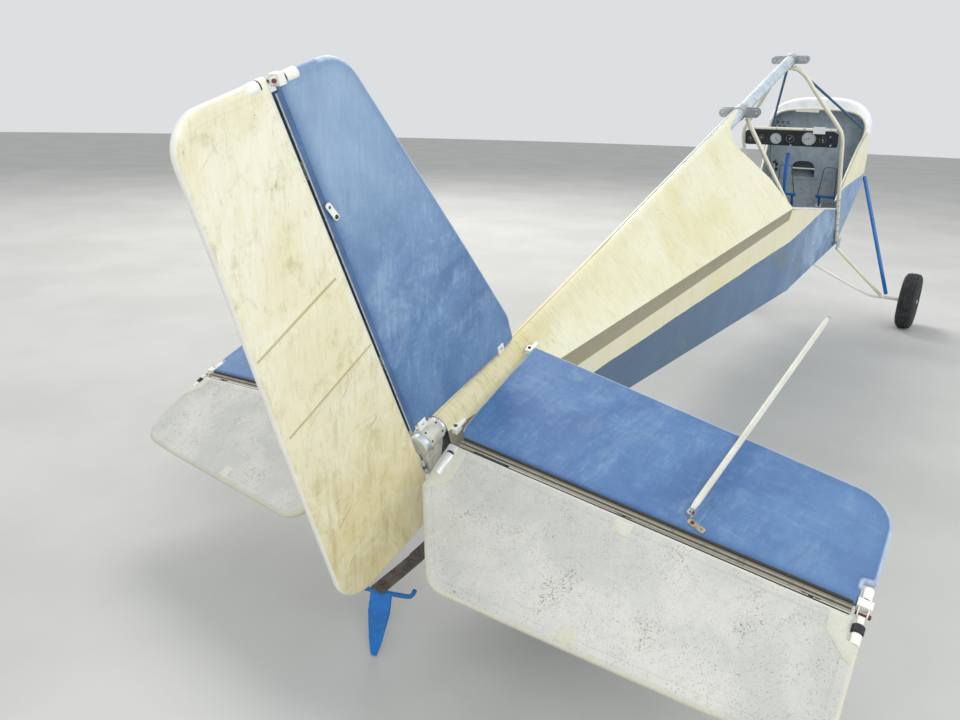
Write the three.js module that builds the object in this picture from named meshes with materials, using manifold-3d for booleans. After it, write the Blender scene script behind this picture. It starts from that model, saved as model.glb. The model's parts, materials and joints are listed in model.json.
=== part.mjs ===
// Single-seat strut-braced ultralight, wings and engine removed, parked on its own gear.
// All tables below are in millimetres in the boom frame:
// x runs forward along the tail boom, y to port, z up at a right angle to the boom.
// The boom frame is pitched nose up into the parked attitude at the end of the file.
import * as THREE from 'three';
import Module from 'manifold-3d';

const wasm = await Module();
wasm.setup();

// Parked attitude and place of the boom frame in the part frame
const PARK_PITCH = THREE.MathUtils.degToRad(19.8);
const ORIGIN_X = -2192.5;
const ORIGIN_Z = 602.2;

// Paint and metal colours
const CREAM = 0xd9d3ac;
const BLUE = 0x3f5f8f;
const STRUT_BLUE = 0x1c5fae;
const GREY_FABRIC = 0xb9bdbb;
const CREAM_TUBE = 0xe3dfc8;
const TAUPE = 0x8f8a72;
const ALLOY = 0xb9c2c9;
const RUST = 0x5a4136;
const DARK = 0x2c3336;
const PANEL_GREY = 0x72777a;
const RUBBER = 0x24282b;

const root = new THREE.Group();
root.name = 'ultralight_airframe';

// Small geometry helpers

const vec = (x, y, z) => new THREE.Vector3(x, y, z);

function signedVolume(geometry) {
  const g = geometry.index ? geometry.toNonIndexed() : geometry;
  const p = g.attributes.position;
  const a = new THREE.Vector3();
  const b = new THREE.Vector3();
  const c = new THREE.Vector3();
  let volume = 0;
  for (let i = 0; i < p.count; i += 3) {
    a.fromBufferAttribute(p, i);
    b.fromBufferAttribute(p, i + 1);
    c.fromBufferAttribute(p, i + 2);
    volume += a.dot(b.cross(c)) / 6;
  }
  return volume;
}

function faceOutward(geometry) {
  const g = geometry.index ? geometry.toNonIndexed() : geometry;
  if (signedVolume(g) < 0) {
    const p = g.attributes.position;
    const a = new THREE.Vector3();
    const b = new THREE.Vector3();
    for (let i = 0; i < p.count; i += 3) {
      a.fromBufferAttribute(p, i + 1);
      b.fromBufferAttribute(p, i + 2);
      p.setXYZ(i + 1, b.x, b.y, b.z);
      p.setXYZ(i + 2, a.x, a.y, a.z);
    }
  }
  return g;
}

function bodyFrom(points, faces) {
  const positions = [];
  for (const face of faces) {
    for (const index of face) {
      positions.push(points[index].x, points[index].y, points[index].z);
    }
  }
  const g = new THREE.BufferGeometry();
  g.setAttribute('position', new THREE.Float32BufferAttribute(positions, 3));
  return faceOutward(g);
}

// Round bar from a to b
function bar(a, b, radius, sides = 14) {
  const along = b.clone().sub(a);
  const g = new THREE.CylinderGeometry(radius, radius, along.length(), sides);
  const turn = new THREE.Quaternion().setFromUnitVectors(vec(0, 1, 0), along.clone().normalize());
  g.applyQuaternion(turn);
  const middle = a.clone().add(b).multiplyScalar(0.5);
  g.translate(middle.x, middle.y, middle.z);
  return g;
}

// Bar with an oval section, wide along the given direction
function ovalBar(a, b, wide, thick, wideDirection, sides = 18) {
  const along = b.clone().sub(a).normalize();
  const side = new THREE.Vector3().crossVectors(along, wideDirection).normalize();
  const flat = new THREE.Vector3().crossVectors(side, along).normalize();
  const points = [];
  const faces = [];
  for (const end of [a, b]) {
    for (let i = 0; i < sides; i += 1) {
      const t = (i / sides) * Math.PI * 2;
      points.push(
        end.clone()
          .addScaledVector(flat, (Math.cos(t) * wide) / 2)
          .addScaledVector(side, (Math.sin(t) * thick) / 2),
      );
    }
  }
  points.push(a.clone(), b.clone());
  const capA = sides * 2;
  const capB = capA + 1;
  for (let i = 0; i < sides; i += 1) {
    const j = (i + 1) % sides;
    faces.push([i, j, sides + j], [i, sides + j, sides + i]);
    faces.push([capA, j, i], [capB, sides + i, sides + j]);
  }
  return bodyFrom(points, faces);
}

// Closed section swept along a list of points, with its own flat directions at each point
function sweep(sections) {
  const count = sections[0].length;
  const points = sections.flat();
  const faces = [];
  for (let s = 0; s + 1 < sections.length; s += 1) {
    for (let i = 0; i < count; i += 1) {
      const j = (i + 1) % count;
      const a = s * count;
      const b = a + count;
      faces.push([a + i, a + j, b + j], [a + i, b + j, b + i]);
    }
  }
  const last = (sections.length - 1) * count;
  for (let i = 1; i + 1 < count; i += 1) {
    faces.push([0, i + 1, i], [last, last + i, last + i + 1]);
  }
  return bodyFrom(points, faces);
}

// Bent round tube through a list of points
function bentTube(list, radius, steps, sides = 12) {
  const path = new THREE.CatmullRomCurve3(list, false, 'centripetal');
  const points = path.getSpacedPoints(steps);
  const sections = [];
  let across = null;
  points.forEach((point, index) => {
    const next = points[Math.min(index + 1, steps)];
    const prev = points[Math.max(index - 1, 0)];
    const along = next.clone().sub(prev).normalize();
    if (across === null) {
      across = Math.abs(along.y) < 0.9 ? vec(0, 1, 0) : vec(1, 0, 0);
    }
    across.addScaledVector(along, -across.dot(along)).normalize();
    const up = new THREE.Vector3().crossVectors(along, across);
    const ring = [];
    for (let i = 0; i < sides; i += 1) {
      const t = (i / sides) * Math.PI * 2;
      ring.push(
        point.clone()
          .addScaledVector(across, radius * Math.cos(t))
          .addScaledVector(up, radius * Math.sin(t)),
      );
    }
    sections.push(ring);
  });
  return sweep(sections);
}

// Corner list with radii turned into a smooth outline
function roundedOutline(corners) {
  const out = [];
  const total = corners.length;
  for (let i = 0; i < total; i += 1) {
    const [x, y, radius = 0] = corners[i];
    const here = new THREE.Vector2(x, y);
    const before = new THREE.Vector2(...corners[(i + total - 1) % total].slice(0, 2)).sub(here);
    const after = new THREE.Vector2(...corners[(i + 1) % total].slice(0, 2)).sub(here);
    if (radius <= 0) {
      out.push(here);
    } else {
      const angle = Math.acos(before.clone().normalize().dot(after.clone().normalize()));
      const back = radius / Math.tan(angle / 2);
      const start = here.clone().addScaledVector(before.normalize(), back);
      const end = here.clone().addScaledVector(after.normalize(), back);
      const steps = Math.max(2, Math.round((Math.PI - angle) / 0.3));
      for (let s = 0; s <= steps; s += 1) {
        const t = s / steps;
        const w = 1 - t;
        const half = Math.cos((Math.PI - angle) / 2);
        const weight = w * w + 2 * w * t * half + t * t;
        out.push(new THREE.Vector2(
          (w * w * start.x + 2 * w * t * half * here.x + t * t * end.x) / weight,
          (w * w * start.y + 2 * w * t * half * here.y + t * t * end.y) / weight,
        ));
      }
    }
  }
  return out;
}

// Outline moved inward by a fixed distance, corner by corner
function insetOutline(outline, inset) {
  const total = outline.length;
  const turn = THREE.ShapeUtils.area(outline) > 0 ? 1 : -1;
  return outline.map((point, i) => {
    const before = outline[(i + total - 1) % total];
    const after = outline[(i + 1) % total];
    const e1 = point.clone().sub(before).normalize();
    const e2 = after.clone().sub(point).normalize();
    const n1 = new THREE.Vector2(-e1.y, e1.x).multiplyScalar(turn);
    const n2 = new THREE.Vector2(-e2.y, e2.x).multiplyScalar(turn);
    const scale = inset / (1 + n1.dot(n2));
    return point.clone().addScaledVector(n1.add(n2), scale);
  });
}

// Flat frame with rounded edges, drawn as corners in the plane of two directions
function padFrame(corners, origin, alongU, alongV, thickness, edge) {
  const kept = corners.map(([x, y, r = 0]) => [x, y, r < edge + 3 ? 0 : r]);
  const outline = roundedOutline(kept);
  const u = alongU.clone().normalize();
  const v = alongV.clone().normalize();
  const n = new THREE.Vector3().crossVectors(u, v).normalize();
  const count = outline.length;
  const half = thickness / 2;
  const rings = [];
  const EDGE_STEPS = 3;
  for (let k = 0; k <= EDGE_STEPS; k += 1) {
    const t = (Math.PI / 2) * (k / EDGE_STEPS);
    rings.push([edge * (1 - Math.sin(t)), -half + edge * (1 - Math.cos(t))]);
  }
  for (let k = EDGE_STEPS; k >= 0; k -= 1) {
    const t = (Math.PI / 2) * (k / EDGE_STEPS);
    rings.push([edge * (1 - Math.sin(t)), half - edge * (1 - Math.cos(t))]);
  }
  const points = [];
  for (const [inset, height] of rings) {
    for (const p of insetOutline(outline, inset)) {
      points.push(
        origin.clone().addScaledVector(u, p.x).addScaledVector(v, p.y).addScaledVector(n, height),
      );
    }
  }
  const faces = [];
  for (let r = 0; r + 1 < rings.length; r += 1) {
    for (let i = 0; i < count; i += 1) {
      const j = (i + 1) % count;
      const a = r * count;
      const b = a + count;
      faces.push([a + i, a + j, b + j], [a + i, b + j, b + i]);
    }
  }
  const caps = THREE.ShapeUtils.triangulateShape(insetOutline(outline, edge), []);
  const top = (rings.length - 1) * count;
  const ccw = THREE.ShapeUtils.area(outline) > 0;
  for (const [i, j, k] of caps) {
    faces.push(ccw ? [i, k, j] : [i, j, k]);
    faces.push(ccw ? [top + i, top + j, top + k] : [top + i, top + k, top + j]);
  }
  return bodyFrom(points, ccw ? faces : faces.map(([i, j, k]) => [i, j, k]));
}

// Flat plate with square edges, drawn as corners in the plane of two directions
function plate(corners, origin, alongU, alongV, thickness, holes = []) {
  const shape = new THREE.Shape(roundedOutline(corners));
  for (const hole of holes) {
    if (Array.isArray(hole[0])) {
      shape.holes.push(new THREE.Path(roundedOutline(hole)));
    } else {
      const path = new THREE.Path();
      path.absarc(hole[0], hole[1], hole[2], 0, Math.PI * 2, true);
      shape.holes.push(path);
    }
  }
  const g = new THREE.ExtrudeGeometry(shape, {
    depth: thickness,
    bevelEnabled: false,
    curveSegments: 10,
    steps: 1,
  });
  g.translate(0, 0, -thickness / 2);
  const u = alongU.clone().normalize();
  const v = alongV.clone().normalize();
  const n = new THREE.Vector3().crossVectors(u, v).normalize();
  const frame = new THREE.Matrix4().makeBasis(u, v, n);
  frame.setPosition(origin);
  g.applyMatrix4(frame);
  return faceOutward(g);
}

// Thin skin: rows of points on the outer face, pushed in by the skin thickness
function skin(rows, thickness, inward) {
  const nRows = rows.length;
  const nCols = rows[0].length;
  const outer = rows.flat();
  const inner = outer.map((point, index) => {
    const r = Math.floor(index / nCols);
    const c = index % nCols;
    const alongRow = rows[r][Math.min(c + 1, nCols - 1)].clone().sub(rows[r][Math.max(c - 1, 0)]);
    const alongCol = rows[Math.min(r + 1, nRows - 1)][c].clone().sub(rows[Math.max(r - 1, 0)][c]);
    const normal = new THREE.Vector3().crossVectors(alongRow, alongCol).normalize();
    if (normal.dot(inward(point)) < 0) {
      normal.negate();
    }
    return point.clone().addScaledVector(normal, thickness);
  });
  const points = outer.concat(inner);
  const shift = outer.length;
  const faces = [];
  const at = (r, c) => r * nCols + c;
  for (let r = 0; r + 1 < nRows; r += 1) {
    for (let c = 0; c + 1 < nCols; c += 1) {
      const a = at(r, c);
      const b = at(r, c + 1);
      const d = at(r + 1, c);
      const e = at(r + 1, c + 1);
      faces.push([a, b, e], [a, e, d]);
      faces.push([shift + a, shift + e, shift + b], [shift + a, shift + d, shift + e]);
    }
  }
  const rim = [];
  for (let c = 0; c + 1 < nCols; c += 1) {
    rim.push([at(0, c + 1), at(0, c)]);
    rim.push([at(nRows - 1, c), at(nRows - 1, c + 1)]);
  }
  for (let r = 0; r + 1 < nRows; r += 1) {
    rim.push([at(r, 0), at(r + 1, 0)]);
    rim.push([at(r + 1, nCols - 1), at(r, nCols - 1)]);
  }
  for (const [a, b] of rim) {
    faces.push([a, b, shift + b], [a, shift + b, shift + a]);
  }
  return bodyFrom(points, faces);
}

// Ring turned from a closed profile of [radius, across] about the y direction
function turnedRing(profile, centre, sides = 40) {
  const points = [];
  const faces = [];
  const n = profile.length;
  for (let s = 0; s < sides; s += 1) {
    const t = (s / sides) * Math.PI * 2;
    for (const [radius, across] of profile) {
      points.push(vec(
        centre.x + radius * Math.cos(t),
        centre.y + across,
        centre.z + radius * Math.sin(t),
      ));
    }
  }
  for (let s = 0; s < sides; s += 1) {
    const next = (s + 1) % sides;
    for (let i = 0; i < n; i += 1) {
      const j = (i + 1) % n;
      faces.push([s * n + i, s * n + j, next * n + j], [s * n + i, next * n + j, next * n + i]);
    }
  }
  return bodyFrom(points, faces);
}

// Solid turned about the y direction; the profile starts and ends on the axis
function turnedSolid(profile, centre, sides = 36) {
  const points2 = profile.map(([radius, across]) => new THREE.Vector2(radius, across));
  const g = new THREE.LatheGeometry(points2, sides);
  g.translate(centre.x, centre.y, centre.z);
  return faceOutward(g);
}

// Boolean sums and differences

function toSolid(geometry) {
  const g = geometry.index ? geometry.toNonIndexed() : geometry;
  const p = g.attributes.position;
  const lookup = new Map();
  const verts = [];
  const tris = [];
  for (let i = 0; i < p.count; i += 1) {
    const key = [p.getX(i), p.getY(i), p.getZ(i)].map((n) => Math.round(n * 1000)).join(' ');
    if (!lookup.has(key)) {
      lookup.set(key, verts.length / 3);
      verts.push(p.getX(i), p.getY(i), p.getZ(i));
    }
    tris.push(lookup.get(key));
  }
  const kept = [];
  for (let i = 0; i < tris.length; i += 3) {
    const [a, b, c] = [tris[i], tris[i + 1], tris[i + 2]];
    if (a !== b && b !== c && a !== c) {
      kept.push(a, b, c);
    }
  }
  return new wasm.Manifold(new wasm.Mesh({
    numProp: 3,
    vertProperties: new Float32Array(verts),
    triVerts: new Uint32Array(kept),
  }));
}

function fromSolid(solid) {
  const m = solid.getMesh();
  const positions = [];
  for (const index of m.triVerts) {
    for (let k = 0; k < 3; k += 1) {
      positions.push(m.vertProperties[index * m.numProp + k]);
    }
  }
  const g = new THREE.BufferGeometry();
  g.setAttribute('position', new THREE.Float32BufferAttribute(positions, 3));
  return g;
}

function joined(...geometries) {
  let total = toSolid(geometries[0]);
  for (const g of geometries.slice(1)) {
    total = total.add(toSolid(g));
  }
  return fromSolid(total);
}

function cut(base, ...tools) {
  let total = toSolid(base);
  for (const g of tools) {
    total = total.subtract(toSolid(g));
  }
  return fromSolid(total);
}

// Pitches a finished body into the parked attitude and adds it to the part
function addPart(name, geometry, colour, roughness = 0.7, metalness = 0) {
  const g = geometry.index ? geometry.toNonIndexed() : geometry;
  g.deleteAttribute('uv');
  g.deleteAttribute('normal');
  g.rotateY(-PARK_PITCH);
  g.translate(ORIGIN_X, 0, ORIGIN_Z);
  g.computeVertexNormals();
  const material = new THREE.MeshStandardMaterial({ color: colour, roughness, metalness });
  material.name = name;
  const mesh = new THREE.Mesh(g, material);
  mesh.name = name;
  root.add(mesh);
}

const SIDES = [
  { tag: 'l', sign: 1 },
  { tag: 'r', sign: -1 },
];

// Tail boom, a straight tube with plugged ends
const BOOM_REAR = -45;
const BOOM_FRONT = 3800;
const BOOM_RADIUS = 31.75;
addPart('tail_boom', bar(vec(BOOM_REAR, 0, 0), vec(BOOM_FRONT, 0, 0), BOOM_RADIUS, 32), ALLOY, 0.35, 0.9);

// Wing root fittings: a clamp round the boom with a pair of fork plates out to each side
const FITTINGS = [
  { name: 'wing_fitting_rear', x: 2812, clamp: 62, reach: 108, tall: 46, gap: 26 },
  { name: 'wing_fitting_front', x: 3765, clamp: 50, reach: 112, tall: 42, gap: 22 },
];
const FORK_THICKNESS = 5;
const CLAMP_RADIUS = 38;
const FIT_GAP = 0.4;
for (const fit of FITTINGS) {
  const half = fit.clamp / 2;
  let total = bar(vec(fit.x - half, 0, 0), vec(fit.x + half, 0, 0), CLAMP_RADIUS, 28);
  const forks = [];
  for (const step of [-1, 1]) {
    const x = fit.x + (step * fit.gap) / 2;
    const corners = [
      [-fit.reach, -fit.tall / 2, fit.tall * 0.45],
      [fit.reach, -fit.tall / 2, fit.tall * 0.45],
      [fit.reach, fit.tall / 2, fit.tall * 0.45],
      [-fit.reach, fit.tall / 2, fit.tall * 0.45],
    ];
    const holes = [[-fit.reach + 20, 0, 6], [fit.reach - 20, 0, 6]];
    forks.push(plate(corners, vec(x, 0, 0), vec(0, 1, 0), vec(0, 0, 1), FORK_THICKNESS, holes));
  }
  total = joined(total, ...forks);
  const bore = bar(vec(fit.x - 60, 0, 0), vec(fit.x + 60, 0, 0), BOOM_RADIUS + FIT_GAP, 28);
  addPart(fit.name, cut(total, bore), ALLOY, 0.4, 0.85);
}

// Cabin hoop: one bent tube from the left longeron over both shoulders to the right one
const HOOP_RADIUS = 13;
const HOOP_HALF = [
  { y: 0, x: 3781, z: -51.2 },
  { y: 45, x: 3785, z: -63.5 },
  { y: 90, x: 3799, z: -108 },
  { y: 140, x: 3826, z: -200 },
  { y: 220, x: 3866, z: -338 },
  { y: 292, x: 3901, z: -461 },
  { y: 313, x: 3914, z: -505 },
  { y: 320, x: 3927, z: -550 },
  { y: 320, x: 3974, z: -711 },
  { y: 318, x: 4060, z: -1000 },
  { y: 316, x: 4187, z: -1444 },
];
const hoopPath = [];
for (let i = HOOP_HALF.length - 1; i > 0; i -= 1) {
  hoopPath.push(vec(HOOP_HALF[i].x, HOOP_HALF[i].y, HOOP_HALF[i].z));
}
for (const station of HOOP_HALF) {
  hoopPath.push(vec(station.x, -station.y, station.z));
}
addPart('cabin_hoop', bentTube(hoopPath, HOOP_RADIUS, 60, 10), CREAM_TUBE, 0.5, 0.1);

// Cross tube at the shoulders and the instrument panel hung under it
const CROSS_X = 3906;
const CROSS_Z = -486;
const CROSS_HALF = 285.4;
addPart('cross_tube', bar(vec(CROSS_X, -CROSS_HALF, CROSS_Z), vec(CROSS_X, CROSS_HALF, CROSS_Z), 9, 12),
  CREAM_TUBE, 0.5, 0.1);
const PANEL_TOP = -495.6;
const PANEL_BOTTOM = -602;
const panelCorners = [
  [-300, PANEL_BOTTOM, 14],
  [300, PANEL_BOTTOM, 14],
  [300, PANEL_TOP - 16, 14],
  [268, PANEL_TOP, 14],
  [-268, PANEL_TOP, 14],
  [-300, PANEL_TOP - 16, 14],
];
addPart('instrument_panel',
  plate(panelCorners, vec(CROSS_X, 0, 0), vec(0, 1, 0), vec(0, 0, 1), 4), DARK, 0.8);

// Windscreen pillars and the sloping tubes behind the seat
for (const side of SIDES) {
  const s = side.sign;
  addPart(`a_pillar_${side.tag}`, bar(vec(3802.6, s * 23.2, -54.8), vec(4627, s * 318, -728), 8, 12),
    STRUT_BLUE, 0.5);
  addPart(`seat_back_tube_${side.tag}`, bar(vec(2838, s * 30, -40.4), vec(2874, s * 289.1, -585), 11, 12),
    CREAM_TUBE, 0.5, 0.1);
}

// Nose rim tube from door post to door post over the arch
const RIM_HALF = [
  { y: 0, x: 4640, z: -601 },
  { y: 130, x: 4640, z: -605 },
  { y: 228, x: 4640, z: -615 },
  { y: 296, x: 4640, z: -645 },
  { y: 332, x: 4640, z: -700 },
  { y: 338, x: 4636, z: -772 },
  { y: 320.8, x: 4520, z: -846 },
  { y: 303, x: 4360, z: -946 },
  { y: 288.2, x: 4128, z: -1082 },
];
const rimPath = [];
for (let i = RIM_HALF.length - 1; i > 0; i -= 1) {
  rimPath.push(vec(RIM_HALF[i].x, RIM_HALF[i].y, RIM_HALF[i].z));
}
for (const station of RIM_HALF) {
  rimPath.push(vec(station.x, -station.y, station.z));
}
addPart('nose_rim_tube', bentTube(rimPath, 9, 56, 8), CREAM_TUBE, 0.5, 0.1);

// Fabric skins of the rear fuselage
const SKIN = 3;
const SHOULDER = { rear: vec(60, 38, -12), front: vec(2843, 310, -539) };
const BAND_LOW = { rear: vec(60, 39, -90), front: vec(2860, 292, -620) };
const LONGERON = { rear: vec(60, 33, -272), front: vec(2905, 308, -1106) };
const WRAP_RADIUS = 35.35;
const REAR_STATIONS = 12;
const SKIN_START = 56;

function onLine(line, x) {
  const t = (x - line.rear.x) / (line.front.x - line.rear.x);
  return line.rear.clone().lerp(line.front, t);
}

// Upper skin: over the crown of the boom, down its flank and out to the shoulder line
function upperRow(x, sign) {
  const shoulder = onLine(SHOULDER, x);
  const distance = Math.hypot(shoulder.y, shoulder.z);
  const direction = Math.atan2(shoulder.z, shoulder.y);
  const tangent = direction + Math.acos(WRAP_RADIUS / distance);
  const crown = Math.PI / 2 - 0.05;
  const row = [];
  for (let k = 0; k <= 4; k += 1) {
    const angle = crown + ((tangent - crown) * k) / 4;
    row.push(vec(x, sign * WRAP_RADIUS * Math.cos(angle), WRAP_RADIUS * Math.sin(angle)));
  }
  const last = row[row.length - 1];
  for (let k = 1; k <= 3; k += 1) {
    row.push(last.clone().lerp(vec(x, sign * shoulder.y, shoulder.z), k / 3));
  }
  return row;
}

// The front edge of the upper skin follows the sloping seat tube
const FRONT_EDGE = [
  { crown: 2770, tangent: 2640, shoulder: 2843 },
];
for (const side of SIDES) {
  const s = side.sign;
  const rows = [];
  for (let i = 0; i <= REAR_STATIONS; i += 1) {
    const t = i / REAR_STATIONS;
    const edge = FRONT_EDGE[0];
    const row = upperRow(SKIN_START + (edge.shoulder - SKIN_START) * t, s);
    const shift = [edge.crown - edge.shoulder, edge.tangent - edge.shoulder];
    row.forEach((point, c) => {
      let move = 0;
      if (c <= 4) {
        move = shift[0] + ((shift[1] - shift[0]) * c) / 4;
      } else {
        move = shift[1] * (1 - (c - 4) / 3);
      }
      point.x += move * t * t * t * t;
    });
    rows.push(row);
  }
  const inward = (p) => vec(0, -p.y * 0.6, -10 - p.z * 0.2);
  addPart(`upper_skin_${side.tag}`, skin(rows, SKIN, inward), CREAM, 0.8);

  const bandRows = [];
  for (let i = 0; i <= REAR_STATIONS; i += 1) {
    const x = SKIN_START + (2843 - SKIN_START) * (i / REAR_STATIONS);
    const top = onLine(SHOULDER, x);
    const low = onLine(BAND_LOW, x);
    const dropTop = -1;
    bandRows.push([
      vec(x, s * (top.y - 0.6), top.z - dropTop - SKIN),
      vec(x, s * low.y, low.z),
    ]);
  }
  addPart(`waist_band_${side.tag}`, skin(bandRows, SKIN, (p) => vec(0, -s, 0)), TAUPE, 0.8);

  const lowRows = [];
  for (let i = 0; i <= REAR_STATIONS; i += 1) {
    const t = i / REAR_STATIONS;
    const top = onLine(BAND_LOW, 60 + (2850 - 60) * t);
    const low = onLine(LONGERON, 60 + (2895 - 60) * t);
    const row = [];
    for (let k = 0; k <= 2; k += 1) {
      const q = k / 2;
      row.push(vec(
        top.x + (low.x - top.x) * q,
        s * (top.y + (low.y - top.y) * q),
        top.z - 0.8 + (low.z - top.z + 0.8) * q,
      ));
    }
    lowRows.push(row);
  }
  addPart(`lower_skin_${side.tag}`, skin(lowRows, SKIN, () => vec(0, -s, 0)), BLUE, 0.8);
}

// Cabin side skins from the seat station to the door post, and nose sides ahead of it
const CABIN_SIDE = [
  { x: 2872, z: -562 },
  { x: 4139.2, z: -1150 },
  { x: 4179.2, z: -1270 },
  { x: 4262.2, z: -1486 },
  { x: 2912, z: -1110 },
];
const CABIN_Y = 302.4;
const NOSE_ROWS = [
  [{ x: 4110, y: 301, z: -1060 }, { x: 4180, y: 301, z: -1270 }, { x: 4263, y: 301, z: -1487 }],
  [{ x: 4360, y: 316, z: -938 }, { x: 4385, y: 318, z: -1190 }, { x: 4430, y: 314, z: -1405 }],
  [{ x: 4520, y: 334, z: -838 }, { x: 4550, y: 336, z: -1085 }, { x: 4600, y: 332, z: -1300 }],
  [{ x: 4668, y: 356, z: -768 }, { x: 4700, y: 356, z: -1000 }, { x: 4740, y: 345, z: -1205 }],
  [{ x: 4780, y: 350, z: -790 }, { x: 4800, y: 350, z: -1000 }, { x: 4820, y: 338, z: -1192 }],
  [{ x: 4900, y: 312, z: -815 }, { x: 4900, y: 312, z: -1000 }, { x: 4900, y: 306, z: -1176 }],
];
for (const side of SIDES) {
  const s = side.sign;
  const corners = CABIN_SIDE.map((c) => [c.x, c.z]);
  addPart(`cabin_side_${side.tag}`,
    plate(corners, vec(0, s * (CABIN_Y - SKIN / 2), 0), vec(1, 0, 0), vec(0, 0, 1), SKIN), BLUE, 0.8);
  const rows = NOSE_ROWS.map((row) => row.map((p) => vec(p.x, s * p.y, p.z)));
  addPart(`nose_side_${side.tag}`, skin(rows, SKIN, () => vec(0, -s, 0)), BLUE, 0.8);
}

// Nose cowl: an arch that runs forward and down from the rim and laps over the nose sides
const COWL_ROWS = [
  { x: 4672, half: 362, top: -534, side: -790 },
  { x: 4740, half: 360, top: -546, side: -806 },
  { x: 4810, half: 352, top: -576, side: -814 },
  { x: 4868, half: 336, top: -620, side: -828 },
  { x: 4908, half: 318, top: -672, side: -836 },
];
const ARCH_STEPS = 20;
const ARCH_POWER = 0.714;

function archPoint(half, top, side, t) {
  const c = Math.cos(t);
  const y = half * Math.sign(c) * Math.abs(c) ** ARCH_POWER;
  const z = side + (top - side) * Math.abs(Math.sin(t)) ** ARCH_POWER;
  return [y, z];
}

const cowlRows = COWL_ROWS.map((row) => {
  const out = [];
  for (let i = 0; i <= ARCH_STEPS; i += 1) {
    const [y, z] = archPoint(row.half, row.top, row.side, Math.PI * (i / ARCH_STEPS));
    out.push(vec(row.x, y, z));
  }
  return out;
});
addPart('nose_cowl', skin(cowlRows, 4, (p) => vec(0, -p.y * 0.5, -200)), 0xe8e8e0, 0.45);

// Bulkhead behind the nose cap, with a low arched opening and three small holes
const BULKHEAD_X = 4745;
const BULKHEAD_TOP_HALF = 348;
const bulkheadCorners = [
  [340, -1204, 0],
  [349, -1000, 0],
];
for (let i = 0; i <= 14; i += 1) {
  const [y, z] = archPoint(352, -557, -800, Math.PI * (i / 14));
  bulkheadCorners.push([Math.max(-BULKHEAD_TOP_HALF, Math.min(BULKHEAD_TOP_HALF, y)), z]);
}
bulkheadCorners.push([-349, -1000, 0], [-340, -1204, 0]);
const bulkheadHoles = [
  [
    [178, -1186, 10],
    [3, -1186, 10],
    [3, -1052, 62],
    [178, -1052, 62],
  ],
  [326, -775, 7],
  [292, -775, 8],
  [260, -775, 8],
];
addPart('nose_bulkhead',
  plate(bulkheadCorners, vec(BULKHEAD_X, 0, 0), vec(0, 1, 0), vec(0, 0, 1), 4, bulkheadHoles),
  PANEL_GREY, 0.8);

// Blunt cap that closes the front of the nose
const CAP_X = 4894;
const CAP_HALF = 308.5;
const capCorners = [
  [303, -1170, 0],
  [308, -1000, 0],
];
for (let i = 0; i <= 12; i += 1) {
  const [y, z] = archPoint(309, -664.4, -826, Math.PI * (i / 12));
  capCorners.push([Math.max(-CAP_HALF, Math.min(CAP_HALF, y)), z]);
}
capCorners.push([-308, -1000, 0], [-303, -1170, 0]);
addPart('nose_cap', plate(capCorners, vec(CAP_X, 0, 0), vec(0, 1, 0), vec(0, 0, 1), 4), BLUE, 0.7);

// Belly skins and the cabin floor
const BELLY = [
  {
    name: 'belly_skin_rear',
    line: [vec(60, 29, -272.5), vec(2895, 304, -1104)],
  },
  {
    name: 'belly_skin_cabin',
    line: [vec(2912, 299, -1110.5), vec(4262, 299, -1486.5)],
  },
  {
    name: 'belly_skin_nose',
    line: [
      vec(4270, 297.5, -1484),
      vec(4430, 310.1, -1389),
      vec(4600, 328, -1288),
      vec(4730, 340.8, -1209),
      vec(4810, 334.4, -1193),
      vec(4888, 306.2, -1179),
    ],
  },
];
for (const part of BELLY) {
  const rows = part.line.map((p) => [vec(p.x, -p.y, p.z), vec(p.x, p.y, p.z)]);
  addPart(part.name, skin(rows, SKIN, () => vec(0, 0, -1)), BLUE, 0.8);
}
const FLOOR_UP = 22;
const floorDirection = vec(4262 - 2912, 0, -1487 + 1111).normalize();
const floorCorners = [
  [20, -298.9, 0],
  [1385, -298.9, 0],
  [1385, 298.9, 0],
  [20, 298.9, 0],
];
addPart('cabin_floor',
  plate(floorCorners, vec(2912, 0, -1111 + FLOOR_UP), floorDirection, vec(0, 1, 0), 5), 0x8d8a80, 0.9);

// Seat: pan and back in one shell
const SEAT_PROFILE = [
  [3560, -1085],
  [3540, -1070],
  [3480, -1066],
  [3160, -1040],
  [3090, -1020],
  [3040, -970],
  [2985, -850],
  [2925, -640],
];
const seatSections = SEAT_PROFILE.map(([x, z], index) => {
  const next = SEAT_PROFILE[Math.min(index + 1, SEAT_PROFILE.length - 1)];
  const prev = SEAT_PROFILE[Math.max(index - 1, 0)];
  const along = new THREE.Vector2(next[0] - prev[0], next[1] - prev[1]).normalize();
  const up = new THREE.Vector2(along.y, -along.x);
  const half = 205;
  return [
    vec(x, -half, z),
    vec(x, half, z),
    vec(x - up.x * 14, half, z - up.y * 14),
    vec(x - up.x * 14, -half, z - up.y * 14),
  ];
});
addPart('seat', sweep(seatSections), STRUT_BLUE, 0.8);

// Cross tubes that carry the seat between the cabin sides
const SEAT_TUBES = [
  { x: 3500, z: -1095 },
  { x: 3170, z: -1067.2 },
];
const SEAT_TUBE_HALF = 299;
for (const [index, tube] of SEAT_TUBES.entries()) {
  addPart(`seat_tube_${index === 0 ? 'front' : 'rear'}`,
    bar(vec(tube.x, -SEAT_TUBE_HALF, tube.z), vec(tube.x, SEAT_TUBE_HALF, tube.z), 12, 12),
    CREAM_TUBE, 0.5, 0.1);
}

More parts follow.
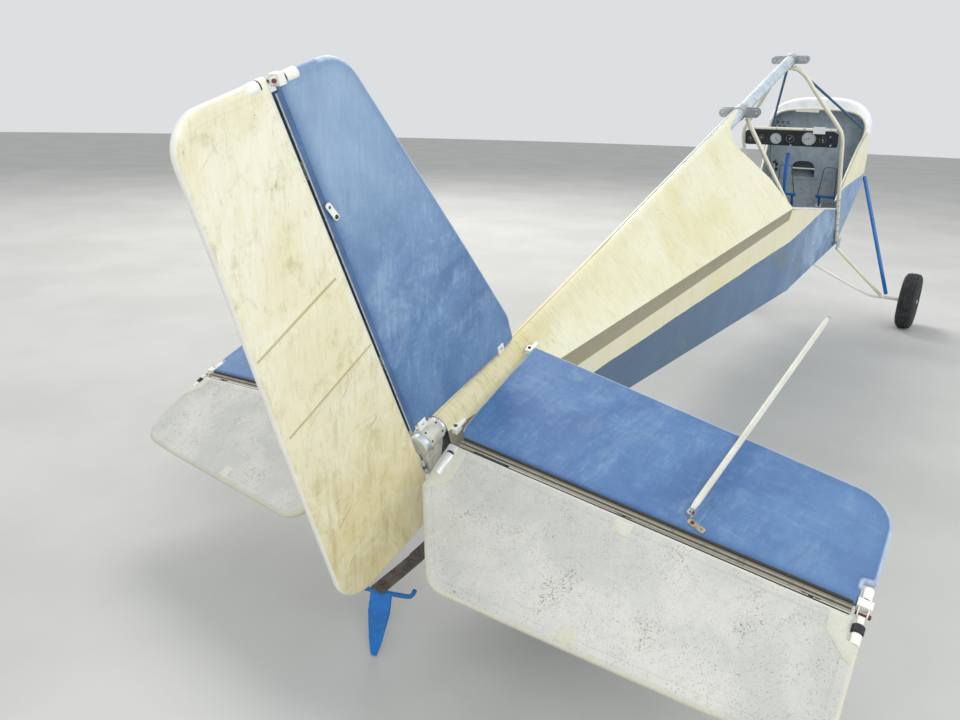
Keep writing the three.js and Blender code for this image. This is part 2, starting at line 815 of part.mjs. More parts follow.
// Control stick and the pair of rudder pedals on their cross bar
addPart('control_stick', bentTube([
  vec(3934, 0, -1365.8),
  vec(3905, 0, -1180),
  vec(3850, 0, -900),
  vec(3846, 0, -780),
  vec(3885, 0, -640),
], 11, 24, 12), STRUT_BLUE, 0.5);
const PEDAL_X = 4500;
const PEDAL_LOW = -1228;
const pedalParts = [bar(vec(PEDAL_X, -222, PEDAL_LOW), vec(PEDAL_X, 222, PEDAL_LOW), 11, 12)];
for (const side of SIDES) {
  const s = side.sign;
  pedalParts.push(bentTube([
    vec(PEDAL_X, s * 88, PEDAL_LOW),
    vec(PEDAL_X, s * 104, -1110),
    vec(PEDAL_X, s * 122, -1010),
    vec(PEDAL_X, s * 140, -994),
    vec(PEDAL_X, s * 170, -992),
    vec(PEDAL_X, s * 188, -1008),
    vec(PEDAL_X, s * 202, -1110),
    vec(PEDAL_X, s * 208, PEDAL_LOW),
  ], 5, 18, 6));
  pedalParts.push(bar(vec(PEDAL_X, s * 100, PEDAL_LOW), vec(PEDAL_X + 20, s * 100, -1331), 9, 8));
}
addPart('rudder_pedals', joined(...pedalParts), STRUT_BLUE, 0.5);

// Main gear, each side: front strut, rear tube, inner link with the axle stub, tyre and hub
const AXLE = { x: 4475, z: -2023, inner: 610, outer: 818, radius: 13 };
const TYRE = { y: 836, radius: 215, width: 122, rim: 102 };
const LUG_Y = 331.5;
const lugCorners = [
  [4136, -1462, 8],
  [4180, -1484, 8],
  [4246, -1484, 8],
  [4280, -1466, 8],
  [4262, -1430, 8],
  [4128, -1410, 8],
];
for (const side of SIDES) {
  const s = side.sign;
  addPart(`gear_strut_${side.tag}`,
    ovalBar(vec(4808, s * 350, -1174), vec(4484, s * 672, -1998.5), 46, 20, vec(0.94, 0, -0.34)),
    STRUT_BLUE, 0.45);
  addPart(`gear_tube_${side.tag}`,
    bar(vec(4205, s * 321.8, -1492.3), vec(4464.6, s * 634.8, -2000.2), 12.5, 14), CREAM_TUBE, 0.5, 0.1);
  addPart(`strut_lug_${side.tag}`,
    plate(lugCorners, vec(0, s * LUG_Y, 0), vec(1, 0, 0), vec(0, 0, 1), 4, [[4156, -1440, 6]]),
    ALLOY, 0.45, 0.8);
  const link = bentTube([
    vec(3996, s * 18, -1430),
    vec(4100, s * 150, -1570),
    vec(4290, s * 392, -1822),
    vec(4400, s * 532, -1962),
    vec(4446, s * 596, -2010),
    vec(AXLE.x, s * 640, AXLE.z),
  ], 11, 20, 10);
  const axleFrom = vec(AXLE.x, s * AXLE.inner, AXLE.z);
  const axleTo = vec(AXLE.x, s * AXLE.outer, AXLE.z);
  const axle = bar(axleFrom, axleTo, AXLE.radius, 16);
  addPart(`gear_link_${side.tag}`, joined(link, axle), CREAM_TUBE, 0.4, 0.2);
  const half = TYRE.width / 2;
  const tyreProfile = [
    [TYRE.rim, -half * 0.62],
    [TYRE.rim + 22, -half * 0.8],
    [TYRE.rim + 52, -half],
    [TYRE.radius - 34, -half * 0.97],
    [TYRE.radius - 14, -half * 0.8],
    [TYRE.radius - 4, -half * 0.52],
    [TYRE.radius, -half * 0.2],
    [TYRE.radius, half * 0.2],
    [TYRE.radius - 4, half * 0.52],
    [TYRE.radius - 14, half * 0.8],
    [TYRE.radius - 34, half * 0.97],
    [TYRE.rim + 52, half],
    [TYRE.rim + 22, half * 0.8],
    [TYRE.rim, half * 0.62],
  ];
  const centre = vec(AXLE.x, s * TYRE.y, AXLE.z);
  addPart(`tyre_${side.tag}`, turnedRing(tyreProfile, centre, 44), RUBBER, 0.9);
  const hubProfile = [
    [0, -12],
    [AXLE.radius + 0.7, -12],
    [AXLE.radius + 0.7, -46],
    [26, -46],
    [28, -30],
    [84, -30],
    [92, -38],
    [101.5, -38],
    [101.5, 38],
    [92, 38],
    [84, 26],
    [28, 26],
    [24, 52],
    [0, 52],
  ];
  const faced = hubProfile.map(([radius, across]) => [radius, s * across]);
  addPart(`hub_${side.tag}`, turnedSolid(faced, centre, 36), ALLOY, 0.5, 0.6);
}

// Hinge knuckles: short barrels on one hinge line, each with a web into its own frame
const KNUCKLE_RADIUS = 6.5;
const KNUCKLE_LENGTH = 14;
const KNUCKLE_GAP = 0.5;

function knuckle(axisPoint, axisDirection, shift, frameDirection, webLength, webDepth) {
  const along = axisDirection.clone().normalize();
  const half = KNUCKLE_LENGTH / 2;
  const middle = axisPoint.clone().addScaledVector(along, shift);
  const barrel = bar(
    middle.clone().addScaledVector(along, -half),
    middle.clone().addScaledVector(along, half),
    KNUCKLE_RADIUS,
    12,
  );
  const web = plate([
    [0, -half + 1, 0],
    [webLength, -half + 1, 0],
    [webLength, half - 1, 0],
    [0, half - 1, 0],
  ], middle, frameDirection, along, webDepth);
  return joined(barrel, web);
}

const HINGE_AT_BOOM = -50;
const HINGE_LEAN = 0.0835;
const hingeX = (z) => HINGE_AT_BOOM - HINGE_LEAN * z;
const RUDDER_AXIS = vec(-HINGE_LEAN, 0, 1).normalize();
const FIN_HINGES = [330, 880];
const POST_HINGE = -85;
const KNUCKLE_PITCH = KNUCKLE_LENGTH + KNUCKLE_GAP;

// Stern post with its two gussets
const gussetCorners = [
  [hingeX(-32.3) + 8, -32.3, 3],
  [52, -32.3, 3],
  [26, -84, 6],
  [hingeX(-136) + 6, -136, 3],
];
const sternPost = joined(
  bar(vec(hingeX(-34) + 22, 0, -34), vec(hingeX(-262) + 22, 0, -262), 13, 18),
  plate(gussetCorners, vec(0, 13, 0), vec(1, 0, 0), vec(0, 0, 1), 4),
  plate(gussetCorners, vec(0, -13, 0), vec(1, 0, 0), vec(0, 0, 1), 4),
  ...[-1, 1].map((step) => knuckle(vec(hingeX(POST_HINGE), 0, POST_HINGE), RUDDER_AXIS,
    step * KNUCKLE_PITCH, vec(1, 0, HINGE_LEAN), 22, 6)),
);
addPart('stern_post', sternPost, ALLOY, 0.45, 0.85);

// Fin and rudder, flat frames covered in fabric
const SURFACE = 26;
const EDGE = 10;
const finCorners = [
  [hingeX(78) + 12, 78, 6],
  [30, 54, 8],
  [410, 36, 8],
  [486, 38, 16],
  [478, 140, 60],
  [350, 441, 0],
  [68, 1079, 106],
  [hingeX(1080) + 12, 1080, 8],
];
const finHinges = FIN_HINGES.flatMap((z) => [-1, 1].map((step) => (
  knuckle(vec(hingeX(z), 0, z), RUDDER_AXIS, step * KNUCKLE_PITCH, vec(1, 0, HINGE_LEAN), 20, 6)
)));
addPart('fin', joined(
  padFrame(finCorners, vec(0, 0, 0), vec(1, 0, 0), vec(0, 0, 1), SURFACE, EDGE),
  ...finHinges,
), BLUE, 0.8);
const rudderCorners = [
  [hingeX(1084) - 10, 1084, 6],
  [-404, 1082, 88],
  [-416, 763, 0],
  [-440, 373, 0],
  [-468, -258, 105],
  [-100, -262, 60],
  [hingeX(-130) - 12, -110, 60],
];
const rudderHinges = [...FIN_HINGES, POST_HINGE].map((z) => (
  knuckle(vec(hingeX(z), 0, z), RUDDER_AXIS, 0, vec(-1, 0, -HINGE_LEAN), 20, 6)
));
addPart('rudder', joined(
  padFrame(rudderCorners, vec(0, 0, 0), vec(1, 0, 0), vec(0, 0, 1), SURFACE, EDGE),
  ...rudderHinges,
), CREAM, 0.8);

// Stabilisers and elevators; the halves sag outboard and the elevators hang a little
const TAIL_ROOT = vec(24.7, 0, -20.3);
const SWEEP = -0.0105;
const SAG = -0.0852;
const STAB_SLOPE = 0.0306;
const ELEVATOR_DROOP = 0.1337;
const stabCorners = [
  [31, 90, 6],
  [31, 1170, 4],
  [96, 1172, 4],
  [100, 1199, 6],
  [359, 1199, 112],
  [497, 64, 12],
  [150, 64, 6],
  [64, 68, 6],
];
const elevatorCorners = [
  [0, 64, 6],
  [-158, 72, 20],
  [-404, 262, 80],
  [-345, 950, 0],
  [-316, 1197, 104],
  [-62, 1197, 6],
  [-58, 1172, 4],
  [0, 1172, 4],
];
const ELEVATOR_HINGES = [170, 620, 1080];
const HINGE_U = 15.5;
const ROOT_STUBS = [44, 470];
for (const side of SIDES) {
  const s = side.sign;
  const alongV = vec(SWEEP, s, SAG);
  const stabU = vec(1, 0, STAB_SLOPE);
  const elevatorU = vec(Math.cos(ELEVATOR_DROOP), 0, STAB_SLOPE + Math.sin(ELEVATOR_DROOP));
  const u = stabU.clone().normalize();
  const v = alongV.clone().normalize();
  const onHinge = (along) => TAIL_ROOT.clone().addScaledVector(u, HINGE_U).addScaledVector(v, along);
  const stabHinges = ELEVATOR_HINGES.flatMap((at) => [-1, 1].map((step) => (
    knuckle(onHinge(at), v, step * KNUCKLE_PITCH, u, 24, 6)
  )));
  const stubs = ROOT_STUBS.map((stub) => {
    const inner = TAIL_ROOT.clone().addScaledVector(u, stub).addScaledVector(v, 4);
    const outer = TAIL_ROOT.clone().addScaledVector(u, stub).addScaledVector(v, 84);
    const tube = bar(inner, outer, 9, 12);
    const section = upperRow(inner.x + 10, 1).map((p) => [s * (p.y + 0.9), p.z]);
    section.push([s * 60, -200], [-s * 60, -200], [-s * 60, 60]);
    return cut(tube, plate(section, vec(inner.x, 0, 0), vec(0, 1, 0), vec(0, 0, 1), 40));
  });
  addPart(`stabiliser_${side.tag}`, joined(
    padFrame(stabCorners, TAIL_ROOT, stabU, alongV, SURFACE, EDGE),
    ...stabHinges,
    ...stubs,
  ), BLUE, 0.8);
  const elevatorAft = elevatorU.clone().normalize().negate();
  const elevatorHinges = ELEVATOR_HINGES.map((at) => (
    knuckle(onHinge(at), v, 0, elevatorAft, 24, 6)
  ));
  addPart(`elevator_${side.tag}`, joined(
    padFrame(elevatorCorners, TAIL_ROOT, elevatorU, alongV, SURFACE, EDGE),
    ...elevatorHinges,
  ), GREY_FABRIC, 0.8);
}

// Loose tail brace struts lying forward over the stabilisers
const BRACE = { lowX: 92, lowY: 770, lowZ: -50, freeX: 1027, freeY: 868, freeZ: -30 };
const BRACE_BRACKET = [
  [-16, -19.4, 0],
  [16, -19.4, 0],
  [12, 6, 0],
  [-12, 6, 0],
];
for (const side of SIDES) {
  const s = side.sign;
  const low = vec(BRACE.lowX, s * BRACE.lowY, BRACE.lowZ);
  const free = vec(BRACE.freeX, s * BRACE.freeY, BRACE.freeZ);
  const foot = low.clone().lerp(free, 0.022);
  addPart(`tail_brace_${side.tag}`, joined(
    bar(low, free, 9, 12),
    plate(BRACE_BRACKET, foot, vec(1, 0, STAB_SLOPE), vec(0, s * SAG, 1), 6),
  ), ALLOY, 0.4, 0.8);
}

// Leaf spring under the tail
const SPRING = [
  [470, -396.6],
  [300, -392],
  [80, -380],
  [-80, -366],
  [-180, -350],
  [-260, -329],
  [-350, -304],
];
const springSections = SPRING.map(([x, z], index) => {
  const next = SPRING[Math.min(index + 1, SPRING.length - 1)];
  const prev = SPRING[Math.max(index - 1, 0)];
  const along = new THREE.Vector2(next[0] - prev[0], next[1] - prev[1]).normalize();
  const up = new THREE.Vector2(along.y, -along.x);
  const half = 22;
  return [
    vec(x, -half, z),
    vec(x, half, z),
    vec(x - up.x * 9, half, z - up.y * 9),
    vec(x - up.x * 9, -half, z - up.y * 9),
  ];
});
addPart('tail_spring', sweep(springSections), RUST, 0.8, 0.3);

// Steerable skid: pointed blade with a cross arm, swivelled as it was left
const SKID_TURN = THREE.MathUtils.degToRad(20);
const SKID_PIVOT = vec(-338, 0, -330);
const groundUp = vec(Math.sin(PARK_PITCH), 0, Math.cos(PARK_PITCH));
const groundAft = vec(-Math.cos(PARK_PITCH), 0, Math.sin(PARK_PITCH));
const bladeDirection = groundUp.clone().multiplyScalar(-165).addScaledVector(groundAft, 62);
const blade = padFrame([
  [-33, 0, 8],
  [33, 0, 8],
  [34, 60, 30],
  [21, 140, 30],
  [9, 187, 7],
  [-9, 187, 7],
  [-21, 140, 30],
  [-34, 60, 30],
], vec(0, 0, 0), vec(0, 1, 0), bladeDirection, 14, 5);
const arm = bentTube([
  groundUp.clone().multiplyScalar(26).add(vec(0, -104, 0)),
  groundUp.clone().multiplyScalar(4).add(vec(0, -92, 0)),
  vec(0, -60, 0),
  vec(0, 60, 0),
  groundUp.clone().multiplyScalar(4).add(vec(0, 92, 0)),
  groundUp.clone().multiplyScalar(26).add(vec(0, 104, 0)),
], 7, 18, 8);
const BOSS_TOP = 11.4;
const boss = bar(vec(0, 0, 0), groundUp.clone().multiplyScalar(BOSS_TOP), 10, 16);
const skid = joined(blade, arm, boss);
const skidPose = new THREE.Matrix4().makeRotationAxis(groundUp, SKID_TURN);
skid.applyMatrix4(skidPose);
skid.translate(SKID_PIVOT.x, SKID_PIVOT.y, SKID_PIVOT.z);
addPart('tail_skid', skid, STRUT_BLUE, 0.5);

export default root;
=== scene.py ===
"""Looks for a strut-braced ultralight with its wings, engine and windscreen removed.

Tables are in millimetres in the boom frame: x forward along the tail boom, y to port, z up at a
right angle to the boom. BOOM turns them into metres in the shared frame.
"""

import json
import math

import bpy
import numpy as np
from mathutils import Matrix, Vector
from mathutils.geometry import delaunay_2d_cdt

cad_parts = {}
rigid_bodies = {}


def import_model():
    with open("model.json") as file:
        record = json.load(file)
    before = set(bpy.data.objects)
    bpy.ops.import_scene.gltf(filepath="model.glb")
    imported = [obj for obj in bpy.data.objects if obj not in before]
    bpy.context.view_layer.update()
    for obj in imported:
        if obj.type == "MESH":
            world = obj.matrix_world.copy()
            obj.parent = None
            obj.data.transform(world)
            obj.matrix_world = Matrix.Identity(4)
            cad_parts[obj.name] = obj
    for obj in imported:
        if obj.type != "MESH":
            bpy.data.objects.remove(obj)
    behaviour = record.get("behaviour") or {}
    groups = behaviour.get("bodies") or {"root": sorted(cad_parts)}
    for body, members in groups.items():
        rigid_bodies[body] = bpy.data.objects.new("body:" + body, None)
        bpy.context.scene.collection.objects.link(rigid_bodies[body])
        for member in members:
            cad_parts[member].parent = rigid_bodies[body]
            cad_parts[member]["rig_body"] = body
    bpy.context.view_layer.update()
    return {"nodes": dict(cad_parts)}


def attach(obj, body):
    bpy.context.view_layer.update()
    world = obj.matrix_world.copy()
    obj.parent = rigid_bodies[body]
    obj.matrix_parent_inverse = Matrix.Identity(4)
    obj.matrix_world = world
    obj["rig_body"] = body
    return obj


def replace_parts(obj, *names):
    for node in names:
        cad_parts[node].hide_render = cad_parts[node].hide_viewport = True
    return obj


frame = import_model()

PITCH = math.radians(19.8)
ORIGIN = (-2.1925, 0.0, 0.6022)
BOOM = Matrix.Translation(ORIGIN) @ Matrix.Rotation(-PITCH, 4, "Y")
SIDES = (("l", 1), ("r", -1))
# How far the rudder's hinge line goes aft for each unit of height
LEAN = 0.0835

# Camera and light


def make_camera():
    data = bpy.data.cameras.new("photo_view")
    data.sensor_width = 36.0
    data.sensor_fit = "HORIZONTAL"
    data.lens = 26.7389
    data.clip_start = 0.05
    data.clip_end = 200.0
    cam = bpy.data.objects.new("photo_view", data)
    bpy.context.scene.collection.objects.link(cam)
    right = Vector((0.58108, -0.813389, 0.027277))
    up = Vector((0.252182, 0.211821, 0.944212))
    ahead = Vector((0.77379, 0.541784, -0.328207))
    turn = Matrix((right, up, -ahead)).transposed().to_4x4()
    cam.matrix_world = Matrix.Translation((-3.68289, -1.22877, 1.51738)) @ turn
    bpy.context.scene.camera = cam


def area_light(name, place, aim, size, power, colour):
    data = bpy.data.lights.new(name, "AREA")
    data.shape = "DISK"
    data.size = size
    data.energy = power
    data.color = colour
    lamp = bpy.data.objects.new(name, data)
    bpy.context.scene.collection.objects.link(lamp)
    lamp.location = place
    lamp.rotation_euler = (Vector(aim) - Vector(place)).to_track_quat("-Z", "Y").to_euler()


make_camera()
bpy.context.scene.view_settings.view_transform = "Standard"
bpy.context.scene.view_settings.look = "None"
area_light("key", (5.0, 6.5, 9.0), (0.0, 0.0, 0.5), 6.0, 960.0, (1.0, 0.98, 0.94))
area_light("fill", (-8.5, -6.5, 7.5), (0.0, 0.0, 0.6), 9.0, 640.0, (0.94, 0.97, 1.0))
area_light("side", (2.5, -9.0, 4.0), (0.6, 0.0, 0.8), 6.0, 220.0, (0.95, 0.975, 1.0))


# Colours and materials

STITCH_INSET = 0.029
STITCHES_PER_METRE = 220.0
# Weight and roughness of the sheen
CLOTH_SHEEN = (0.1, 0.5)


def linear(hexcode):
    out = []
    for shift in (16, 8, 0):
        c = ((hexcode >> shift) & 255) / 255.0
        out.append(c / 12.92 if c <= 0.04045 else ((c + 0.055) / 1.055) ** 2.4)
    return (*out, 1.0)


class Shade:
    """One procedural material, built up in layers on its first tone."""

    def __init__(self, name, tone, roughness, metallic=0.0, sheen=None):
        self.mat = bpy.data.materials.new(name)
        self.mat.use_nodes = True
        self.tree = self.mat.node_tree
        self.tree.nodes.clear()
        self.tone = tone
        self.bsdf = self.node("BsdfPrincipled", {"Roughness": roughness, "Metallic": metallic})
        if sheen:
            for key, value in zip(("Sheen Weight", "Sheen Roughness"), sheen):
                self.bsdf.inputs[key].default_value = value
        self.node("OutputMaterial", {0: self.bsdf.outputs[0]})
        self.where = self.node("TexCoord").outputs["Object"]
        self.normal = None

    def put(self, socket, value):
        """Links a socket, or sets its constant; a whole number is a colour there."""
        if isinstance(value, bpy.types.NodeSocket):
            self.tree.links.new(value, socket)
        else:
            is_colour = socket.type == "RGBA" and isinstance(value, int)
            socket.default_value = linear(value) if is_colour else value

    def node(self, kind, values=None, **props):
        made = self.tree.nodes.new("ShaderNode" + kind)
        for key, value in props.items():
            setattr(made, key, value)
        for key, value in (values or {}).items():
            self.put(made.inputs[key], value)
        return made

    def math(self, operation, *values):
        return self.node("Math", dict(enumerate((*values, 0.0, 0.0)[:3])), operation=operation).outputs[0]

    def times(self, a, b):
        return self.math("MULTIPLY", a, b)

    def frame(self, stretch=(1, 1, 1), turn=(0, 0, 0)):
        """Object point in the boom frame, in metres, turned and then stretched along its axes."""
        back = self.node("Mapping", {"Vector": self.where, "Location": ORIGIN,
                                     "Rotation": (0.0, -PITCH, 0.0)}, vector_type="TEXTURE")
        fit = self.node("Mapping", {"Vector": back.outputs[0], "Rotation": turn}, vector_type="POINT")
        return self.node("VectorMath", {0: fit.outputs[0], 1: stretch}, operation="MULTIPLY").outputs[0]

    def axis(self, number):
        """One coordinate of the point in the boom frame."""
        return self.node("SeparateXYZ", {0: self.frame()}).outputs[number]

    def noise(self, scale, detail=4.0, rough=0.55, twist=0.0, at=(), vector=None):
        """Noise over the boom frame, with the stretch and the turn given in at."""
        values = {"Vector": vector or self.frame(*at), "Scale": scale, "Detail": detail,
                  "Roughness": rough, "Distortion": twist}
        return self.node("TexNoise", values).outputs["Fac"]

    def bands(self, scale, axis, at=()):
        values = {"Vector": self.frame(*at), "Scale": scale}
        return self.node("TexWave", values, bands_direction=axis).outputs["Fac"]

    def span(self, value, low, high, to_low=0.0, to_high=1.0):
        values = {"Value": value, "From Min": low, "From Max": high, "To Min": to_low, "To Max": to_high}
        return self.node("MapRange", values, interpolation_type="SMOOTHSTEP").outputs["Result"]

    def mix(self, factor, a, b):
        return self.node("Mix", {0: factor, 6: a, 7: b}, data_type="RGBA").outputs[2]

    def over(self, mask, colour, amount=None):
        """Lays a colour on the tone where the mask is, at full strength or at an amount of it."""
        self.tone = self.mix(mask if amount is None else self.times(mask, amount), self.tone, colour)

    def attribute(self, name):
        return self.node("Attribute", attribute_name=name).outputs["Fac"]

    def lining(self, colour):
        """The inner face of a skin is the bare back of the cloth."""
        spots = self.noise(30.0, 4.0, 0.65)
        back = self.mix(self.span(spots, 0.45, 0.75, 0.0, 0.5), colour, 0x55585A)
        self.over(self.attribute("inside"), back)

    def relief(self, height, depth, strength):
        """Adds a bump of that depth in metres for a height of 0 to 1."""
        values = {"Strength": strength, "Distance": depth, "Height": height}
        if self.normal:
            values["Normal"] = self.normal
        self.normal = self.node("Bump", values).outputs[0]

    def weave(self, depth=0.00025):
        """Plain woven cloth under the paint: crossed sets of threads."""
        warp, weft, across = (self.bands(620.0, axis) for axis in "XZY")
        self.relief(self.math("ADD", self.times(warp, weft), across), depth, 0.35)

    def border(self):
        """Lock stitches that run round a fabric panel at a fixed inset from its edge."""
        edge = self.attribute("edge")
        line = self.math("ABSOLUTE", self.math("SUBTRACT", edge, STITCH_INSET))
        thread = self.span(line, 0.0006, 0.0016, 1.0, 0.0)
        turns = self.times(self.attribute("along"), STITCHES_PER_METRE * 6.28318)
        beat = self.span(self.math("SINE", turns), -0.2, 0.3)
        fold = self.span(edge, STITCH_INSET + 0.0030, STITCH_INSET + 0.0042, 1.0, 0.0)
        return self.times(thread, beat), fold

    def finish(self, roughness=None):
        self.put(self.bsdf.inputs["Base Color"], self.tone)
        if roughness is not None:
            self.put(self.bsdf.inputs["Roughness"], roughness)
        if self.normal:
            self.put(self.bsdf.inputs["Normal"], self.normal)
        return self.mat


def chalky_blue(name, deep, mid, chalk, stretch, turn, fade):
    """Faded blue paint; fade is (axis, low, high, chalk at the high end) in boom metres."""
    s = Shade(name, deep, 0.62, 0.0, (0.12, 0.5))
    axis, low, high, gain = fade
    paler = s.span(s.math("ABSOLUTE", s.axis(axis)), low, high)
    broad = s.noise(4.2, 5.0, 0.60, 0.5)
    blotch = s.noise(11.0, 6.0, 0.68, 0.9, ((1.3, 1.0, 1.3),))
    brush = s.noise(26.0, 7.0, 0.72, 0.2, (stretch, turn))
    hatch = s.noise(24.0, 6.0, 0.70, 0.1, ((2.6, 0.5, 2.6), turn))
    fine = s.noise(95.0, 4.0, 0.7, 0.0, (stretch, turn))
    s.over(s.span(broad, 0.36, 0.64), mid)
    s.over(paler, chalk, gain)
    worn = s.times(s.span(blotch, 0.44, 0.74), s.span(brush, 0.42, 0.68))
    s.over(worn, chalk, 0.8)
    s.over(s.span(hatch, 0.50, 0.72), chalk, s.span(broad, 0.40, 0.60, 0.15, 0.5))
    s.over(s.span(fine, 0.56, 0.82, 0.0, 0.35), chalk)
    s.over(s.span(s.noise(7.0, 4.0, 0.6, 0.0, ((1.6, 1.6, 0.5), turn)), 0.56, 0.74, 0.0, 0.45), deep)
    veil = s.noise(5.5, 7.0, 0.70, 0.7, ((0.8, 1.0, 0.8), turn))
    s.over(s.span(veil, 0.46, 0.66), chalk, s.span(brush, 0.34, 0.66, 0.20, 0.62))
    s.over(s.span(s.noise(70.0, 3.0, 0.6), 0.66, 0.76), 0x6E6A58, 0.6)
    edge = s.attribute("edge")
    # Painted shade: the blue darkens in a band along the panel edges.
    s.over(s.span(edge, 0.004, 0.034, 0.42, 0.0), deep)
    brown = s.span(s.noise(40.0, 4.0, 0.7, 0.4, (stretch, turn)), 0.60, 0.72)
    s.over(s.times(brown, s.span(broad, 0.46, 0.62)), 0x7D8078, 0.45)
    s.over(s.span(s.axis(2), -0.05, 0.34, 0.42, 0.0), 0x3B5F88)
    from_hinge = s.math("ADD", s.axis(0), s.times(s.axis(2), LEAN))
    # Painted highlight, broken up by wear: a pale line along the edges ahead of the hinge line, at the
    # leading edge and the tip.
    rub_and_highlight = s.times(s.span(edge, 0.0045, 0.0110, 1.0, 0.0), s.span(brush, 0.35, 0.7, 0.50, 0.90))
    s.over(rub_and_highlight, 0xC3D0DC, s.span(from_hinge, 0.070, 0.085))
    thread, fold = s.border()
    s.over(thread, 0x24406E, 0.15)
    s.relief(fold, 0.0003, 0.5)
    s.relief(broad, 0.004, 0.25)
    s.weave()
    return s.finish(s.span(worn, 0.0, 1.0, 0.52, 0.78))


def aged_cream(name, clean, yellow, streak_dir, marks=1.0, stitched=True, turn=(0, 0, 0), back=None,
               low=None, rolled=False):
    """Yellowed paint on cloth; low is (floor, top, amount) of its stained foot in boom metres."""
    s = Shade(name, clean, 0.66, 0.0, CLOTH_SHEEN)
    streaks = (streak_dir, turn)
    broad = s.noise(3.1, 5.0, 0.6, 0.6)
    stain = s.noise(8.5, 6.0, 0.66, 1.2, ((1.2, 1.0, 1.2),))
    run = s.noise(16.0, 6.0, 0.7, 0.1, streaks)
    thin = s.noise(50.0, 4.0, 0.72, 0.0, streaks)
    s.over(s.span(broad, 0.40, 0.74, 0.0, 0.8), yellow)
    s.over(s.span(s.noise(30.0, 3.0, 0.6, 0.0, streaks), 0.40, 0.66, 0.0, 0.30), yellow)
    s.over(s.span(run, 0.52, 0.76), 0xC0B27E, 0.34 * marks)
    s.over(s.span(thin, 0.55, 0.74), 0xA59D6E, 0.40 * marks)
    s.over(s.span(s.noise(70.0, 3.0, 0.6, 0.3, streaks), 0.50, 0.70, 0.0, 0.4), clean)
    if rolled:
        roll = s.times(s.span(s.math("ABSOLUTE", s.axis(1)), 0.028, 0.070, 1.0, 0.0),
                       s.span(s.axis(0), 0.45, 1.15, 1.0, 0.15))
        wraps = s.noise(30.0, 5.0, 0.7, 0.2, ((7.0, 0.5, 0.5),))
        s.over(roll, 0xCDC08C, 0.60)
        s.over(roll, 0x8F8458, s.span(wraps, 0.50, 0.70, 0.0, 0.55))
    if low:
        floor, top, amount = low
        stained = s.span(s.axis(2), floor, top, amount, 0.0)
        s.over(stained, 0xC9B97F, s.span(stain, 0.30, 0.60, 0.55, 1.0))
        s.over(s.span(run, 0.50, 0.66), 0x9A8C5C, s.span(s.axis(2), floor, top, 0.30, 0.0))
        scratch = s.span(s.noise(20.0, 3.0, 0.55, 0.0, ((5.6, 1, 0.42), (0, -1.1, 0))), 0.69, 0.715)
        s.over(s.times(scratch, s.span(s.axis(2), floor, top, 0.85, 0.15)), 0x5E5638, 0.7)
    mottle = s.span(s.noise(15.0, 9.0, 0.78, 0.8, ((1.5, 1.5, 0.8), turn)), 0.47, 0.68)
    s.over(s.times(mottle, s.span(stain, 0.42, 0.58)), 0xB3A765, 0.50 if stitched else 0.24)
    s.over(s.times(s.span(stain, 0.60, 0.80), s.span(thin, 0.40, 0.60)), 0x86804F, 0.40 * marks)
    speck = s.span(s.noise(120.0, 2.0, 0.5), 0.72, 0.78)
    s.over(s.times(speck, s.span(stain, 0.45, 0.62)), 0x4E4A36, 0.7 * marks)
    if stitched:
        thread, fold = s.border()
        s.over(thread, 0x8F845A, 0.14)
        s.relief(fold, 0.0002, 0.5)
        grime = s.times(s.span(s.attribute("edge"), 0.0, 0.012, 1.0, 0.0), s.span(stain, 0.35, 0.6))
        s.over(grime, 0x9A8F66, 0.25)
        s.over(s.span(s.attribute("edge"), 0.002, 0.0075, 0.7, 0.0), 0xF1F2EE)
    if back:
        s.lining(back)
    s.relief(broad, 0.004, 0.25)
    s.weave()
    return s.finish(s.span(run, 0.3, 0.8, 0.58, 0.78))


def specked_grey(name):
    s = Shade(name, 0xBDBEB8, 0.7)
    broad = s.noise(4.0, 5.0, 0.6, 0.5)
    grain = s.noise(42.0, 6.0, 0.7)
    s.over(s.span(broad, 0.36, 0.66), 0xCECDC5)
    s.over(s.span(grain, 0.50, 0.72, 0.0, 0.55), 0xB4B5AC)
    dots = s.span(s.noise(290.0, 2.0, 0.55), 0.590, 0.66)
    s.over(s.times(dots, s.span(s.noise(17.0, 4.0, 0.6), 0.36, 0.56, 0.25, 1.0)), 0x7F7C73, 0.62)
    crowd = s.span(s.noise(190.0, 2.0, 0.55, 0.5), 0.56, 0.63)
    s.over(s.times(crowd, s.span(s.noise(6.5, 6.0, 0.70, 1.0), 0.52, 0.66)), 0x6F6C62, 0.75)
    stars = s.node("TexVoronoi", {"Vector": s.frame(), "Scale": 3.1}).outputs["Distance"]
    s.over(s.span(stars, 0.018, 0.030, 0.5, 0.0), 0x8C897E)
    s.over(s.span(s.noise(85.0, 2.0, 0.5, 0.6), 0.74, 0.80), 0x7A776E, 0.6)
    s.over(s.span(s.noise(9.0, 5.0, 0.7, 1.5), 0.66, 0.82), 0x8D8B80, 0.4)
    thread, fold = s.border()
    s.over(thread, 0x77756C, 0.3)
    s.relief(fold, 0.0008, 0.7)
    worn = s.times(s.span(s.attribute("edge"), 0.004, 0.012, 1.0, 0.0), s.span(grain, 0.3, 0.6, 0.5, 1.0))
    s.over(worn, 0xD9D3BC, 0.7)
    s.relief(broad, 0.003, 0.25)
    s.weave(0.0003)
    return s.finish(s.span(grain, 0.3, 0.7, 0.62, 0.82))


def painted(name, base, chip, dull, roughness=0.38, chips=0.5, under=0x8A7F74):
    s = Shade(name, base, roughness)
    fine = s.noise(60.0, 5.0, 0.65)
    s.over(s.span(s.noise(9.0, 5.0, 0.6, 0.4), 0.35, 0.70, 0.0, 0.8), dull)
    s.over(s.span(fine, 0.58, 0.72), chip, 0.35)
    bare = s.span(s.noise(110.0, 3.0, 0.6), 0.72, 0.76)
    s.over(bare, under, chips)
    s.relief(fine, 0.0004, 0.35)
    s.relief(bare, 0.0003, 0.5)
    return s.finish(s.span(fine, 0.35, 0.7, roughness - 0.06, roughness + 0.18))


